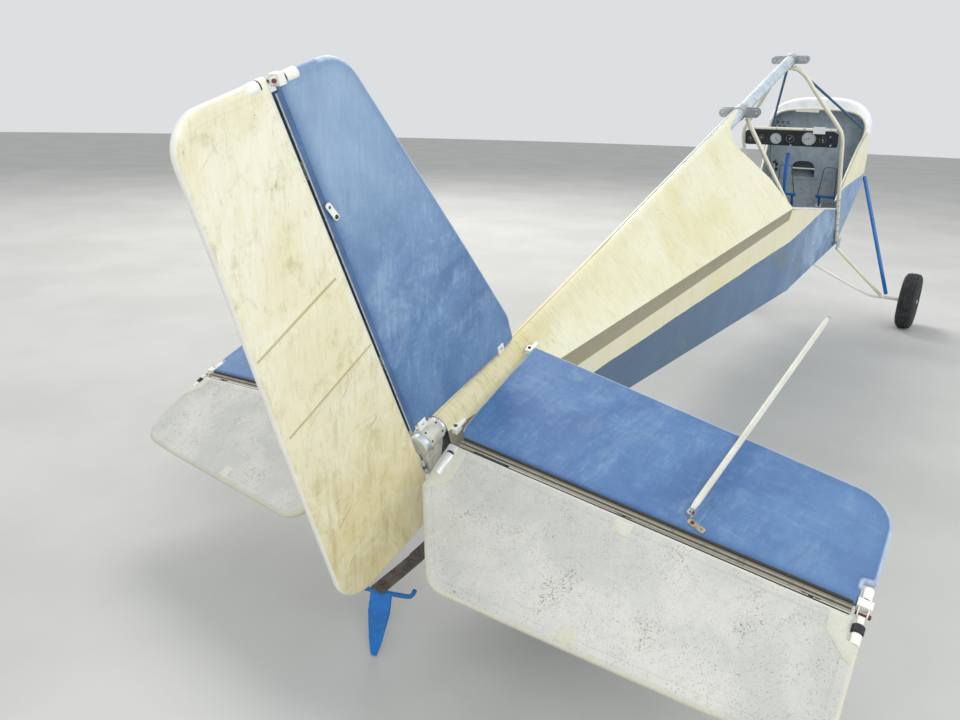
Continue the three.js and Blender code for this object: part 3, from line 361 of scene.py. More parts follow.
def bare_alloy(name, clean, dull, along, metal):
    s = Shade(name, clean, 0.36, metal)
    rub_and_highlight = s.noise(40.0, 6.0, 0.7, 0.0, (along,))
    spots = s.span(s.noise(150.0, 3.0, 0.6), 0.66, 0.74)
    s.over(s.span(s.noise(11.0, 5.0, 0.6, 0.8), 0.32, 0.7), dull)
    s.over(s.span(rub_and_highlight, 0.45, 0.75), 0x6E757A, 0.4)
    s.over(spots, 0x565B5E, 0.6)
    s.relief(rub_and_highlight, 0.0002, 0.4)
    s.relief(spots, 0.0002, 0.4)
    return s.finish(s.span(rub_and_highlight, 0.3, 0.75, 0.26, 0.52))


def rusty(name, base, dark, bright):
    s = Shade(name, dark, 0.85, 0.15)
    cloud = s.noise(22.0, 6.0, 0.7, 0.8)
    grain = s.noise(160.0, 5.0, 0.7)
    s.over(s.span(cloud, 0.35, 0.65), base)
    s.over(s.span(grain, 0.5, 0.72), bright, 0.6)
    s.relief(grain, 0.0006, 0.8)
    s.relief(cloud, 0.0015, 0.4)
    return s.finish(s.span(grain, 0.3, 0.7, 0.72, 0.95))


def moulded(name, base, dull, grit, roughness, scale=14.0, streaks=0.3, back=None):
    s = Shade(name, base, roughness)
    cloud = s.noise(scale, 5.0, 0.62, 0.5)
    dust = s.noise(scale * 9, 4.0, 0.65)
    s.over(s.span(cloud, 0.35, 0.68), dull)
    s.over(s.span(s.noise(scale * 3, 5.0, 0.7, 0.0, ((1, 1, 0.15),)), 0.55, 0.78), grit, streaks)
    s.over(s.span(dust, 0.62, 0.75), grit, 0.35)
    if back:
        s.lining(back)
    s.relief(dust, 0.0003, 0.35)
    s.relief(cloud, 0.002, 0.2)
    return s.finish(s.span(dust, 0.3, 0.75, roughness - 0.06, roughness + 0.2))


def two_tone(name, upper, lower, line, folds):
    """Cream over blue with a straight paint line: line holds two (x, z) points in boom metres."""
    s = Shade(name, upper, 0.64, 0.0, CLOTH_SHEEN)
    x, z = s.axis(0), s.axis(2)
    (x0, z0), (x1, z1) = line
    slope = (z1 - z0) / (x1 - x0)
    level = s.math("SUBTRACT", z, s.math("MULTIPLY_ADD", x, slope, z0 - slope * x0))
    wander = s.times(s.math("SUBTRACT", s.noise(6.0, 2.0), 0.5), 0.010)
    broad = s.noise(3.2, 5.0, 0.6, 0.5)
    run = s.noise(11.0, 6.0, 0.7, 0.2, ((2.4, 2.4, 0.5),))
    fine = s.noise(34.0, 4.0, 0.7, 0.0, ((0.5, 1, 2.2), (0, 0.3, 0)))
    s.over(s.span(broad, 0.4, 0.7), 0xDCD1A0)
    s.over(s.span(run, 0.52, 0.78), 0xB6A774, 0.30)
    cream, s.tone = s.tone, lower
    # Painted light and shade: the blue lightens towards the front and darkens aft, for the shadow on the rear
    # lower skins.
    ahead = s.span(x, 2.5, 3.7, 0.16, 1.0)
    s.over(s.span(broad, 0.34, 0.66), 0x88A3C2, ahead)
    s.over(s.span(run, 0.45, 0.75), 0x9CB2CA, s.times(ahead, 0.16))
    s.over(s.span(fine, 0.58, 0.8), 0x6C7F8F, 0.3)
    s.over(s.span(x, 1.2, 3.1, 0.62, 0.0), 0x44586B)
    s.over(s.span(s.noise(2.6, 4.0, 0.6, 1.0), 0.56, 0.72), 0x7C8468, 0.35)
    s.over(s.span(s.math("ADD", level, wander), -0.0012, 0.0012), cream)
    s.over(s.span(s.noise(90.0, 3.0, 0.6), 0.70, 0.80), 0x5F5A48, 0.4)
    s.lining(0x9AA3A8)
    s.relief(s.noise(5.0, 4.0, 0.6, 0.3, (folds,)), 0.006, 0.45)
    s.weave()
    return s.finish(s.span(fine, 0.3, 0.75, 0.56, 0.78))


def rubber(name):
    s = Shade(name, 0x1C1F22, 0.82)
    dust = s.noise(26.0, 5.0, 0.65, 0.4)
    grain = s.noise(240.0, 3.0, 0.6)
    s.over(s.span(dust, 0.38, 0.68), 0x3C3E3E)
    s.over(s.span(grain, 0.58, 0.74), 0x5E5B55, 0.4)
    s.relief(grain, 0.0004, 0.6)
    return s.finish(s.span(dust, 0.3, 0.7, 0.72, 0.92))


def stuff(name, base, dull, line):
    """Heavy upholstery cloth with a visible twill."""
    s = Shade(name, base, 0.85, 0.0, (0.35, 0.45))
    cloud = s.noise(12.0, 5.0, 0.6, 0.4)
    twill = s.bands(150.0, "X", ((1, 1, 1), (0.0, 0.7, 0.6)))
    s.over(s.span(cloud, 0.35, 0.68), dull)
    s.over(twill, line, 0.25)
    s.relief(twill, 0.0006, 0.5)
    s.relief(cloud, 0.003, 0.3)
    return s.finish(s.span(cloud, 0.3, 0.7, 0.78, 0.92))


def pale_floor():
    s = Shade("pale_floor", 0xB4B4B1, 0.75)
    s.over(s.span(s.noise(0.8, 4.0, 0.6, vector=s.where), 0.35, 0.65), 0xBCBCB9)
    s.over(s.noise(60.0, 3.0, 0.6, vector=s.where), 0xA2A2A0, 0.12)
    return s.finish()


def webbing(name, light, dark):
    """Coarse woven edge tape with ribs along it."""
    s = Shade(name, light, 0.8)
    ribs = s.bands(170.0, "X")
    knit = s.bands(95.0, "Y")
    dirt = s.noise(38.0, 5.0, 0.65)
    s.over(ribs, dark, 0.8)
    s.over(knit, dark, 0.35)
    s.over(s.span(dirt, 0.52, 0.72, 0.0, 0.6), 0x5C5340)
    s.relief(ribs, 0.0006, 0.6)
    s.relief(knit, 0.0004, 0.5)
    return s.finish(s.span(dirt, 0.3, 0.7, 0.7, 0.9))


# Each row: name, the record's slot or None, then what its function takes
LOOKS = (
    (chalky_blue, (
        ("fin_blue", "blue_fabric", 0x4C709C, 0x668AB2, 0x9BB4CE, (3.2, 3.2, 0.35), (0, -0.36, 0),
         (2, 0.35, 1.05, 0.62)),
        ("stab_blue", "blue_fabric", 0x34629E, 0x4E7FB6, 0x8CABCC, (0.6, 2.6, 2.0), (0, 0, 0.12),
         (1, 0.62, 1.20, 0.30)))),
    (aged_cream, (
        ("rudder_cream", "rudder_fabric", 0xEFECD6, 0xE2D7AA, (2.9, 3.2, 0.5), 0.8, True,
         (0, -0.34, 0), None, (-0.10, 0.62, 0.72)),
        ("skin_cream", "cream_fabric", 0xE6E4CC, 0xDAD3A4, (6.5, 0.5, 0.4), 1.3, False,
         (0, 0.22, 0), 0xBDBAA6, None, True),
        ("grey_patch", "grey_fabric", 0xCBCCC0, 0xC6C2AE, (1.5, 1.5, 1.5), 0.4),
        ("seam_tape", "rudder_fabric", 0xC9BE98, 0xB3A67C, (3.2, 3.2, 0.45), 0.9, False),
        # The dark taupe of the waist band is painted shade on its cloth, with some dirt in it.
        ("taupe", "band_fabric", 0x96917A, 0x8B8468, (0.5, 2.0, 2.0), 0.35, False, (0, 0, 0), 0x8A8778))),
    (specked_grey, (("grey_cloth", "grey_fabric"),)),
    (two_tone, (
        # The deep lower blue of side_cloth is partly its own blue and partly painted shade, darkened for the
        # shadow on the lower skins.
        ("side_cloth", "blue_fabric", 0xDCD8BC, 0x4F6E8F, ((0.836, -0.3213), (3.668, -0.9450)),
         (0.6, 1.0, 2.4)),
        ("nose_cloth", "blue_fabric", 0xE2DEC4, 0x7390B2, ((4.19, -1.03), (4.823, -1.132)),
         (2.6, 1.0, 0.5)))),
    (webbing, (
        ("hinge_web", "band_fabric", 0x9C9684, 0x4A463C), ("web_cord", "band_fabric", 0xD2CCBA, 0x8C8472),
        # The dark web is real webbing on the middle gap cord, and on the gap welt it is painted shade.
        ("tie_cord", None, 0xD9D4C2, 0x9A9280), ("web_dark", "grey_fabric", 0x4C4A42, 0x2C2A26),
        ("piping", "grey_fabric", 0xE2DFD0, 0xBDB8A4))),
    (painted, (
        ("cream_paint", "cream_tube", 0xE6E3D0, 0xB9B194, 0xD9D4BA, 0.42),
        ("sill_tube", "cream_tube", 0xDDE1E0, 0xA9B3BB, 0xC9D0D2, 0.42),
        ("white_paint", "cream_tube", 0xEDECE4, 0xB8B29C, 0xDEDCD0, 0.4, 0.8),
        ("tag_white", None, 0xEFEFEA, 0xC9C9C2, 0xE2E2DC, 0.45, 0.2),
        ("blue_paint", "blue_tube", 0x0C6BB6, 0x63A0CC, 0x0A5896, 0.28),
        ("blue_grip", "blue_tube", 0x2560B4, 0x6F92C6, 0x1F5098, 0.5, 0.3),
        ("navy_paint", "blue_tube", 0x235A80, 0x4E7C94, 0x1E4868, 0.42),
        ("red_anodised", None, 0x6E2029, 0x46161B, 0x5A1A22, 0.35, 0.3),
        ("wire_dark", "cream_tube", 0x5A6264, 0x8A9092, 0x3E4446, 0.5),
        ("brace_paint", "fitting_alloy", 0xD3D2C8, 0xB2B0A4, 0xC2C0B4, 0.45),
        ("fin_tape", "blue_fabric", 0x4A6D99, 0x7C9AC0, 0x3A5880, 0.6),
        ("hub", "hub_alloy", 0xB8BBB8, 0x7E8080, 0x9FA3A1, 0.45, 0.7, 0x6A5A4C))),
    (rusty, (
        ("galvanised", "rusty_steel", 0xBFB8A0, 0xA29A84, 0x93602F),
        ("old_spring", "rusty_steel", 0x6A625A, 0x4A443E, 0x7C6A58),
        ("rust", "rusty_steel", 0x7A5443, 0x4A352C, 0x9A6A45))),
    (bare_alloy, (
        # The boom alloy's bluish white is partly its own bare metal and partly painted reflection of the sky.
        ("alloy", "boom_alloy", 0xDCE5EC, 0xB4C2CE, (0.15, 6, 6), 0.45),
        ("white_alloy", "boom_alloy", 0xE9EBE8, 0xC9CDC9, (0.3, 5, 5), 0.35),
        ("fitting", "fitting_alloy", 0xD2D6D8, 0xA2A9AE, (1, 1, 1), 0.45),
        ("steel_strip", "fitting_alloy", 0x8494A2, 0x56646F, (1, 1, 0.2), 0.5))),
    (moulded, (
        ("post_plate", "fitting_alloy", 0xC9C7BB, 0xADAB9F, 0x77746A, 0.5, 20.0, 0.5),
        ("white_shell", "cowl_shell", 0xF4F6F6, 0xE6E9EA, 0xC4C4BC, 0.36, 14.0, 0.3, 0xB4BDC2),
        ("grey_sheet", "bulkhead_sheet", 0xAFBBC4, 0x97A4AE, 0x6E7880, 0.7),
        ("panel_black", "panel", 0x22282B, 0x2B3234, 0x4B5050, 0.55),
        ("panel_trim", "panel", 0x1A1D1F, 0x262A2C, 0x46494A, 0.45),
        ("pale_face", None, 0xC6CAC6, 0xB4B9B6, 0x9A9E9A, 0.5),
        ("dark_face", None, 0x2E3436, 0x23282A, 0x54595A, 0.5),
        ("mark_black", None, 0x2A2C2D, 0x35383A, 0x55585A, 0.6),
        ("mark_white", None, 0xD8DAD4, 0xC2C4BE, 0xA0A29C, 0.6),
        ("black_rubber", None, 0x1B1E20, 0x25292B, 0x45484A, 0.6),
        ("floor_board", "floor_board", 0x8A8D90, 0x74787B, 0x5C5F61, 0.8))),
    (stuff, (("seat_cloth", "seat_fabric", 0x2F4A6E, 0x263C5A, 0x1C2E48),)),
    (rubber, (("tyre", "tyre"),)),
)
M, SLOTS = {}, {}
for maker, looks in LOOKS:
    for key, slot, *look in looks:
        M[key] = maker(key, *look)
        if slot:
            SLOTS[key] = slot

# CAD nodes of each finish; a star stands for the l and the r side
FINISHES = {
    "alloy": "tail_boom tail_brace_*",
    "fitting": "wing_fitting_rear wing_fitting_front strut_lug_*",
    "cream_paint": "cabin_hoop cross_tube seat_back_tube_* nose_rim_tube seat_tube_front seat_tube_rear "
                   "gear_tube_*",
    "panel_black": "instrument_panel",
    "navy_paint": "a_pillar_*",
    "skin_cream": "upper_skin_*",
    "taupe": "waist_band_*",
    "side_cloth": "lower_skin_* cabin_side_* belly_skin_rear belly_skin_cabin",
    "nose_cloth": "nose_side_* nose_cap belly_skin_nose",
    "white_shell": "nose_cowl",
    "grey_sheet": "nose_bulkhead",
    "floor_board": "cabin_floor",
    "seat_cloth": "seat",
    "blue_paint": "control_stick rudder_pedals gear_strut_* tail_skid",
    "white_paint": "gear_link_*",
    "tyre": "tyre_*",
    "hub": "hub_*",
    "post_plate": "stern_post",
    "fin_blue": "fin",
    "rudder_cream": "rudder",
    "stab_blue": "stabiliser_*",
    "grey_cloth": "elevator_*",
    "old_spring": "tail_spring",
}
FINISH = {}
for key, words in FINISHES.items():
    for word in words.split():
        FINISH |= {word.replace("*", tag): key for tag in "lr"}
for node, key in FINISH.items():
    mesh = frame["nodes"][node].data
    mesh.materials.clear()
    mesh.materials.append(M[key])


# Mesh helpers


def make(name, points, faces, material, body="airframe", sharp=None, boom=True, attrs=None):
    """A mesh from points in boom millimetres (or shared metres), riding on a body."""
    mesh = bpy.data.meshes.new(name)
    mesh.from_pydata([tuple(BOOM @ (Vector(p) / 1000.0) if boom else p) for p in points], [], faces)
    mesh.validate()
    for key, values in (attrs or {}).items():
        layer = mesh.attributes.new(key, "FLOAT", "POINT")
        layer.data.foreach_set("value", np.asarray(values, np.float32))
    mesh.shade_smooth()
    if sharp is not None:
        mesh.set_sharp_from_angle(angle=math.radians(sharp))
    mesh.materials.append(M[material])
    obj = bpy.data.objects.new(name, mesh)
    bpy.context.scene.collection.objects.link(obj)
    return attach(obj, body)


def circle(count):
    return [(math.cos(2 * math.pi * k / count), math.sin(2 * math.pi * k / count)) for k in range(count)]


def grid_faces(rows, cols):
    return [[a, a + 1, a + cols + 1, a + cols] for i in range(rows - 1)
            for a in range(i * cols, (i + 1) * cols - 1)]


def hoops(starts, count):
    """Quads from the closed loop of count points at each start to the loop that follows it."""
    return [[a + k, a + (k + 1) % count, a + count + (k + 1) % count, a + count + k]
            for a in starts for k in range(count)]


def two_faced(faces, count):
    """Faces on both sides of a sheet of count points, with a wall along its open edges."""
    edges = {pair for face in faces for pair in zip(face, face[1:] + face[:1])}
    walls = [[b, a, a + count, b + count] for a, b in sorted(edges) if (b, a) not in edges]
    return faces + [[i + count for i in reversed(face)] for face in faces] + walls


def packed(faces):
    """The numbers of the points that faces use, and the faces numbered by that list."""
    used = sorted({i for face in faces for i in face})
    place = {old: new for new, old in enumerate(used)}
    return used, [[place[i] for i in face] for face in faces]


def triangulated(points, edges, loops, kind):
    """Points and anticlockwise triangles in the plane."""
    verts, _, faces, _, _, _ = delaunay_2d_cdt([Vector(p) for p in points], edges, loops, kind, 1e-4)
    verts = np.array([tuple(v) for v in verts])
    tris = []
    for face in faces:
        a, b, c = verts[list(face)[:3]]
        area = (b[0] - a[0]) * (c[1] - a[1]) - (b[1] - a[1]) * (c[0] - a[0])
        tris.append(list(face) if area > 0 else list(face)[::-1])
    return verts, tris


def rounded(corners, step=0.12):
    """Corners (x, y, radius) as a closed smooth outline."""
    out = []
    for i, (x, y, radius) in enumerate(corners):
        here = np.array((x, y), float)
        if radius <= 0:
            out.append(here)
            continue
        before = np.array(corners[i - 1][:2], float) - here
        after = np.array(corners[(i + 1) % len(corners)][:2], float) - here
        before /= np.linalg.norm(before)
        after /= np.linalg.norm(after)
        angle = math.acos(float(np.clip(before @ after, -1, 1)))
        back = radius / math.tan(angle / 2)
        start = here + before * back
        end = here + after * back
        count = max(2, int(round((math.pi - angle) / step)))
        half = math.cos((math.pi - angle) / 2)
        for k in range(count + 1):
            t = k / count
            w = 1 - t
            weight = w * w + 2 * w * t * half + t * t
            out.append((w * w * start + 2 * w * t * half * here + t * t * end) / weight)
    return np.array(out)


def resample(outline, gap):
    out = []
    for a, b in zip(outline, np.roll(outline, -1, axis=0)):
        parts = max(1, int(math.ceil(np.linalg.norm(b - a) / gap)))
        out.extend(a + (b - a) * (k / parts) for k in range(parts))
    return np.array(out)


def to_outline(points, outline):
    """Distance of each point to a closed outline, and the arc length of the nearest place on it."""
    seg = np.roll(outline, -1, axis=0) - outline
    length = np.linalg.norm(seg, axis=1)
    start = np.concatenate([[0], np.cumsum(length)[:-1]])
    best = np.full(len(points), 1e9)
    arc = np.zeros(len(points))
    for i, a in enumerate(outline):
        t = np.clip(((points - a) @ seg[i]) / max(length[i] ** 2, 1e-9), 0, 1)
        d = np.linalg.norm(points - (a + t[:, None] * seg[i]), axis=1)
        near = d < best
        best[near] = d[near]
        arc[near] = start[i] + t[near] * length[i]
    return best, arc


def inside(points, outline):
    x, y = points[:, 0], points[:, 1]
    hit = np.zeros(len(points), bool)
    for (x0, y0), (x1, y1) in zip(outline, np.roll(outline, -1, axis=0)):
        if y0 != y1:
            hit ^= ((y0 > y) != (y1 > y)) & (x < (x1 - x0) * (y - y0) / (y1 - y0) + x0)
    return hit


def filled(outline, insets, spacing, gap=9.0):
    """Points and triangles that fill an outline, with rows of points at set insets from it."""
    edge = resample(outline, gap)
    area = 0.5 * np.sum(edge[:, 0] * np.roll(edge[:, 1], -1) - edge[:, 1] * np.roll(edge[:, 0], -1))
    turn = 1 if area > 0 else -1
    ahead = np.roll(edge, -1, axis=0) - np.roll(edge, 1, axis=0)
    ahead /= np.linalg.norm(ahead, axis=1)[:, None]
    normal = np.stack([-ahead[:, 1], ahead[:, 0]], axis=1) * turn
    low, high = edge.min(0), edge.max(0)
    cols = np.arange(low[0] + spacing / 2, high[0], spacing)
    lines = np.arange(low[1] + spacing / 2, high[1], spacing * 0.866)
    grid = np.array([(x + (spacing / 2 if k % 2 else 0), y) for k, y in enumerate(lines) for x in cols])
    clear = [(edge + normal * inset, inset * 0.94) for inset in insets]
    clear.append((grid, insets[-1] + spacing * 0.6))
    parts = [edge]
    for points, least in clear:
        points = points[inside(points, outline)]
        parts.append(points[to_outline(points, outline)[0] > least])
    return triangulated(np.concatenate(parts), [], [list(range(len(edge)))], 1)


def waves(points, seed, size, stretch=(1.0, 1.0)):
    """Smooth repeatable ripples over the plane, about -1 to 1."""
    rng = np.random.default_rng(seed)
    total = np.zeros(len(points))
    for _ in range(14):
        turn = rng.uniform(0, math.pi)
        length = size * rng.uniform(0.6, 1.7)
        k = 2 * math.pi / length
        along = math.cos(turn) * points[:, 0] * stretch[0] + math.sin(turn) * points[:, 1] * stretch[1]
        total += np.sin(k * along + rng.uniform(0, 6.28)) * rng.uniform(0.4, 1.0)
    return total / 6.0


TUBE = 13.0
SPACING = 9.0
EDGE_ROWS = (0.6, 1.8, 3.6, 6.0, 9.0, 12.5, 16.5)


def cloth_panel(name, node, body, material, corners, origin, along_u, along_v, ribs, seed):
    """Fabric over a tube frame: round edges, cloth drawn in between the tubes, ribs showing through."""
    outline = rounded(corners)
    verts, tris = filled(outline, EDGE_ROWS, SPACING)
    dist, arc = to_outline(verts, outline)
    inner = np.clip(TUBE - dist, 0, TUBE)
    round_edge = np.sqrt(np.maximum(TUBE ** 2 - inner ** 2, 0))
    away = np.clip(dist - TUBE, 0, None)
    slack = 2.6 * (1 - np.exp(-away / 55.0))
    for x0, y0, x1, y1 in ribs:
        a = np.array([x0, y0], float)
        d = np.array([x1, y1], float) - a
        t = np.clip(((verts - a) @ d) / (d @ d), 0, 1)
        off = np.linalg.norm(verts - (a + t[:, None] * d), axis=1)
        slack *= 1 - 0.9 * np.exp(-((off / 24.0) ** 2))
    ease = np.clip(away / 40.0, 0, 1)
    heights = []
    for k in (0, 1):
        ripple = waves(verts, seed + 7 * k, 150.0) * 0.55 + waves(verts, seed + 7 * k + 3, 60.0) * 0.18
        heights.append(round_edge - slack + ripple * ease)
    u = Vector(along_u).normalized()
    v = Vector(along_v).normalized()
    n = u.cross(v).normalized()
    base = Vector(origin)
    count = len(verts)
    rim = dist < 1e-3
    points = [base + u * p[0] + v * p[1] + n * (0.0 if flat else sign * h)
              for sign, height in ((1, heights[0]), (-1, heights[1]))
              for p, h, flat in zip(verts, height, rim)]
    lower = {i: (i if rim[i] else i + count) for i in range(count)}
    used, faces = packed(tris + [[lower[i] for i in reversed(t)] for t in tris])
    edge, along = (np.concatenate([value, value])[used] / 1000.0 for value in (dist, arc))
    obj = make(name, [points[i] for i in used], faces, material, body, attrs={"edge": edge, "along": along})
    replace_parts(obj, node)

    def surface(x, y, side=1):
        """A point on the cloth for a place in its plane, found from the nearest vertex heights."""
        d2 = (verts[:, 0] - x) ** 2 + (verts[:, 1] - y) ** 2
        near = np.argpartition(d2, 4)[:4]
        weight = 1.0 / (d2[near] + 4.0)
        h = float((heights[0 if side > 0 else 1][near] * weight).sum() / weight.sum())
        return base + u * x + v * y + n * (h * side), n * side
    return surface


def patch(name, surface, corners, body, material, lift, side, spacing=SPACING):
    """A flat doubler or repair glued on a cloth panel, with its own thin edge."""
    outline = rounded(corners)
    verts, tris = filled(outline, (1.2,), spacing, 6.0)
    dist, arc = to_outline(verts, outline)
    points = []
    for level in (lift, -0.4):
        for p, d in zip(verts, dist):
            spot, n = surface(p[0], p[1], side)
            points.append(spot + n * (level if level < 0 else level * (0.55 + 0.45 * min(d / 1.2, 1.0))))
    faces = two_faced(tris, len(verts))
    if side < 0:
        faces = [f[::-1] for f in faces]
    inset, along = (np.concatenate([value, value]) / 1000.0 for value in (dist, arc))
    return make(name, points, faces, material, body, sharp=50,
                attrs={"edge": inset + 0.0235, "along": along})


def tube(name, path, radius, material, body="airframe", sides=16):
    """Round tube through a list of points, with closed ends; radius may be one value per point."""
    pts = [Vector(p) for p in path]
    radii = list(radius) if isinstance(radius, (list, tuple)) else [radius] * len(pts)
    points = []
    across = None
    for i, p in enumerate(pts):
        ahead = (pts[min(i + 1, len(pts) - 1)] - pts[max(i - 1, 0)]).normalized()
        if across is None:
            across = Vector((0, 1, 0)) if abs(ahead.y) < 0.9 else Vector((1, 0, 0))
        across = (across - ahead * across.dot(ahead)).normalized()
        up = ahead.cross(across)
        points += [p + (across * c + up * s) * radii[i] for c, s in circle(sides)]
    last = (len(pts) - 1) * sides
    faces = hoops(range(0, last, sides), sides)
    faces += [list(range(sides))[::-1], list(range(last, last + sides))]
    return make(name, points, faces, material, body, sharp=40)


def sleeve(name, foot, way, low, high, radii, body="airframe", sides=24):
    """Short white tube between two distances along a direction, its ends drawn in to the first radius."""
    end, full = radii
    path = [foot + way * at for at in (low, low + 2, high - 2, high)]
    return tube(name, path, (end, full, full, end), "white_paint", body, sides)


def spline(path, count):
    """Centripetal curve through points, sampled evenly."""
    pts = [np.array(p, float) for p in path]
    pts = [2 * pts[0] - pts[1]] + pts + [2 * pts[-1] - pts[-2]]
    dense = []
    for i in range(1, len(pts) - 2):
        p0, p1, p2, p3 = pts[i - 1:i + 3]
        t0 = 0.0
        t1 = t0 + np.linalg.norm(p1 - p0) ** 0.5
        t2 = t1 + np.linalg.norm(p2 - p1) ** 0.5
        t3 = t2 + np.linalg.norm(p3 - p2) ** 0.5
        for k in range(40):
            t = t1 + (t2 - t1) * k / 40
            a1 = (t1 - t) / (t1 - t0) * p0 + (t - t0) / (t1 - t0) * p1
            a2 = (t2 - t) / (t2 - t1) * p1 + (t - t1) / (t2 - t1) * p2
            a3 = (t3 - t) / (t3 - t2) * p2 + (t - t2) / (t3 - t2) * p3
            b1 = (t2 - t) / (t2 - t0) * a1 + (t - t0) / (t2 - t0) * a2
            b2 = (t3 - t) / (t3 - t1) * a2 + (t - t1) / (t3 - t1) * a3
            dense.append((t2 - t) / (t2 - t1) * b1 + (t - t1) / (t2 - t1) * b2)
    dense.append(pts[-2])
    dense = np.array(dense)
    gone = path_lengths(dense)
    return [tuple(np.interp(w, gone, dense[:, k]) for k in range(3)) for w in np.linspace(0, gone[-1], count)]


def path_lengths(path):
    """Length of a path up to each of its points."""
    return np.concatenate([[0], np.cumsum(np.linalg.norm(np.diff(path, axis=0), axis=1))])


# Tail surfaces: outlines as corners (x, z or distance from the middle, radius)


def hinge_x(z):
    return -50 - LEAN * z


FIN = [
    (hinge_x(78) + 12, 78, 6), (30, 54, 8), (410, 36, 8), (486, 38, 16), (478, 140, 60),
    (350, 441, 0), (68, 1079, 106), (hinge_x(1080) + 12, 1080, 8),
]
RUDDER = [
    (hinge_x(1084) - 10, 1084, 6), (-404, 1082, 88), (-416, 763, 0), (-440, 373, 0),
    (-468, -258, 105), (-100, -262, 60), (hinge_x(-130) - 12, -110, 60),
]
STAB = [
    (31, 90, 6), (31, 1170, 4), (96, 1172, 4), (100, 1199, 6), (359, 1199, 112),
    (497, 64, 12), (150, 64, 6), (64, 68, 6),
]
ELEVATOR = [
    (0, 64, 6), (-158, 72, 20), (-404, 262, 80), (-345, 950, 0), (-316, 1197, 104),
    (-62, 1197, 6), (-58, 1172, 4), (0, 1172, 4),
]
TAIL_ROOT = (24.7, 0, -20.3)
DROOP = 0.1337
SLOPE = 0.0306

cloth_panel("fin_cloth", "fin", "airframe", "fin_blue", FIN, (0, 0, 0), (1, 0, 0),
            (0, 0, 1), [(-40, 330, 400, 330), (-90, 700, 240, 700)], 11)
rudder_face = cloth_panel("rudder_cloth", "rudder", "rudder", "rudder_cream", RUDDER, (0, 0, 0),
                          (1, 0, 0), (0, 0, 1), [(-116, 598, -426, 563), (-104, 411, -422, 350)], 23)
FLAP_FACES = {}


def tail_axes(s):
    """Directions forward in the stabiliser, forward in the elevator and outward in both, on side s."""
    return (Vector((1, 0, SLOPE)), Vector((math.cos(DROOP), 0, SLOPE + math.sin(DROOP))),
            Vector((-0.0105, s, -0.0852)).normalized())


for tag, s in SIDES:
    u_dir, e_dir, v_dir = tail_axes(s)
    cloth_panel(f"stabiliser_cloth_{tag}", f"stabiliser_{tag}", "airframe", "stab_blue", STAB,
                TAIL_ROOT, u_dir, v_dir, [(31, 420, 450, 420), (31, 790, 400, 790)], 31 + s)
    FLAP_FACES[tag] = cloth_panel(
        f"elevator_cloth_{tag}", f"elevator_{tag}", f"elevator_{tag}", "grey_cloth", ELEVATOR,
        TAIL_ROOT, e_dir, v_dir, [(0, 420, -395, 420), (0, 790, -365, 790)], 41 + s)

# Shells, turned parts and plates

X, Y, Z = Vector((1, 0, 0)), Vector((0, 1, 0)), Vector((0, 0, 1))
SKIN = 2.4


def grid_normals(grid):
    n = np.cross(np.gradient(grid, axis=1), np.gradient(grid, axis=0))
    return n / np.maximum(np.linalg.norm(n, axis=2), 1e-9)[..., None]


def inward_normals(grid, inward):
    n = grid_normals(grid)
    return n * np.where(n @ np.array(inward, float) < 0, -1.0, 1.0)[..., None]


def shell(name, grid, inward, material, thickness=SKIN, push=None, body="airframe"):
    """Thin skin from rows of points on its outer face; push moves a point outward.
    """
    grid = np.asarray(grid, float)
    if push is not None:
        grid = grid - inward_normals(grid, inward) * push[..., None]
    n = inward_normals(grid, inward)
    rows, cols = grid.shape[:2]
    count = rows * cols
    points = np.concatenate([grid.reshape(-1, 3), (grid + n * thickness).reshape(-1, 3)])
    faces = two_faced(grid_faces(rows, cols), count)
    mid = (rows // 2, cols // 2)
    if grid_normals(grid)[mid] @ n[mid] > 0:
        faces = [f[::-1] for f in faces]
    back = np.concatenate([np.zeros(count), np.ones(count)])
    obj = make(name, points, faces, material, body, sharp=40, attrs={"inside": back})
    return obj


def smoothed(node, name, inward=None):
    """A welded copy of a CAD solid with smooth round faces, in place of the faceted one.

    With inward, the faces that look that way are marked as the back of the cloth.
    """
    source = frame["nodes"][node]
    keys, order, lookup = {}, [], []
    for v in source.data.vertices:
        key = tuple(round(c * 20000) for c in v.co)
        if key not in keys:
            keys[key] = len(order)
            order.append(v.co.copy())
        lookup.append(keys[key])
    faces = [[lookup[i] for i in poly.vertices] for poly in source.data.polygons]
    faces = [face for face in faces if len(set(face)) == len(face)]
    back = np.zeros(len(order))
    if inward:
        way = BOOM.to_3x3() @ Vector(inward)
        for face in faces:
            a, b, c = (order[i] for i in face[:3])
            if (b - a).cross(c - a).normalized().dot(way) > 0.6:
                back[face] = 1
    obj = make(name, order, faces, FINISH[node], source["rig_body"], sharp=38, boom=False,
               attrs={"inside": back})
    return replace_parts(obj, node)


def basis(axis):
    w = Vector(axis).normalized()
    u = Z - w * w.z
    if u.length < 0.02:
        u = X - w * w.x
    u.normalize()
    return u, w.cross(u).normalized(), w


def turned(name, profile, place, axis, material, body="airframe", sides=24, sharp=32):
    """Solid of revolution; profile is (radius, height along the axis) with both ends on the axis."""
    u, v, w = basis(axis)
    base = Vector(place)
    points = [base + w * profile[0][1]]
    inner = profile[1:-1]
    points += [base + w * along + (u * c + v * s) * radius
               for radius, along in inner for c, s in circle(sides)]
    points.append(base + w * profile[-1][1])
    last = 1 + (len(inner) - 1) * sides
    faces = hoops(range(1, last, sides), sides)
    for k in range(sides):
        j = (k + 1) % sides
        faces += [[0, 1 + j, 1 + k], [last + k, last + j, len(points) - 1]]
    return make(name, points, faces, material, body, sharp=sharp)


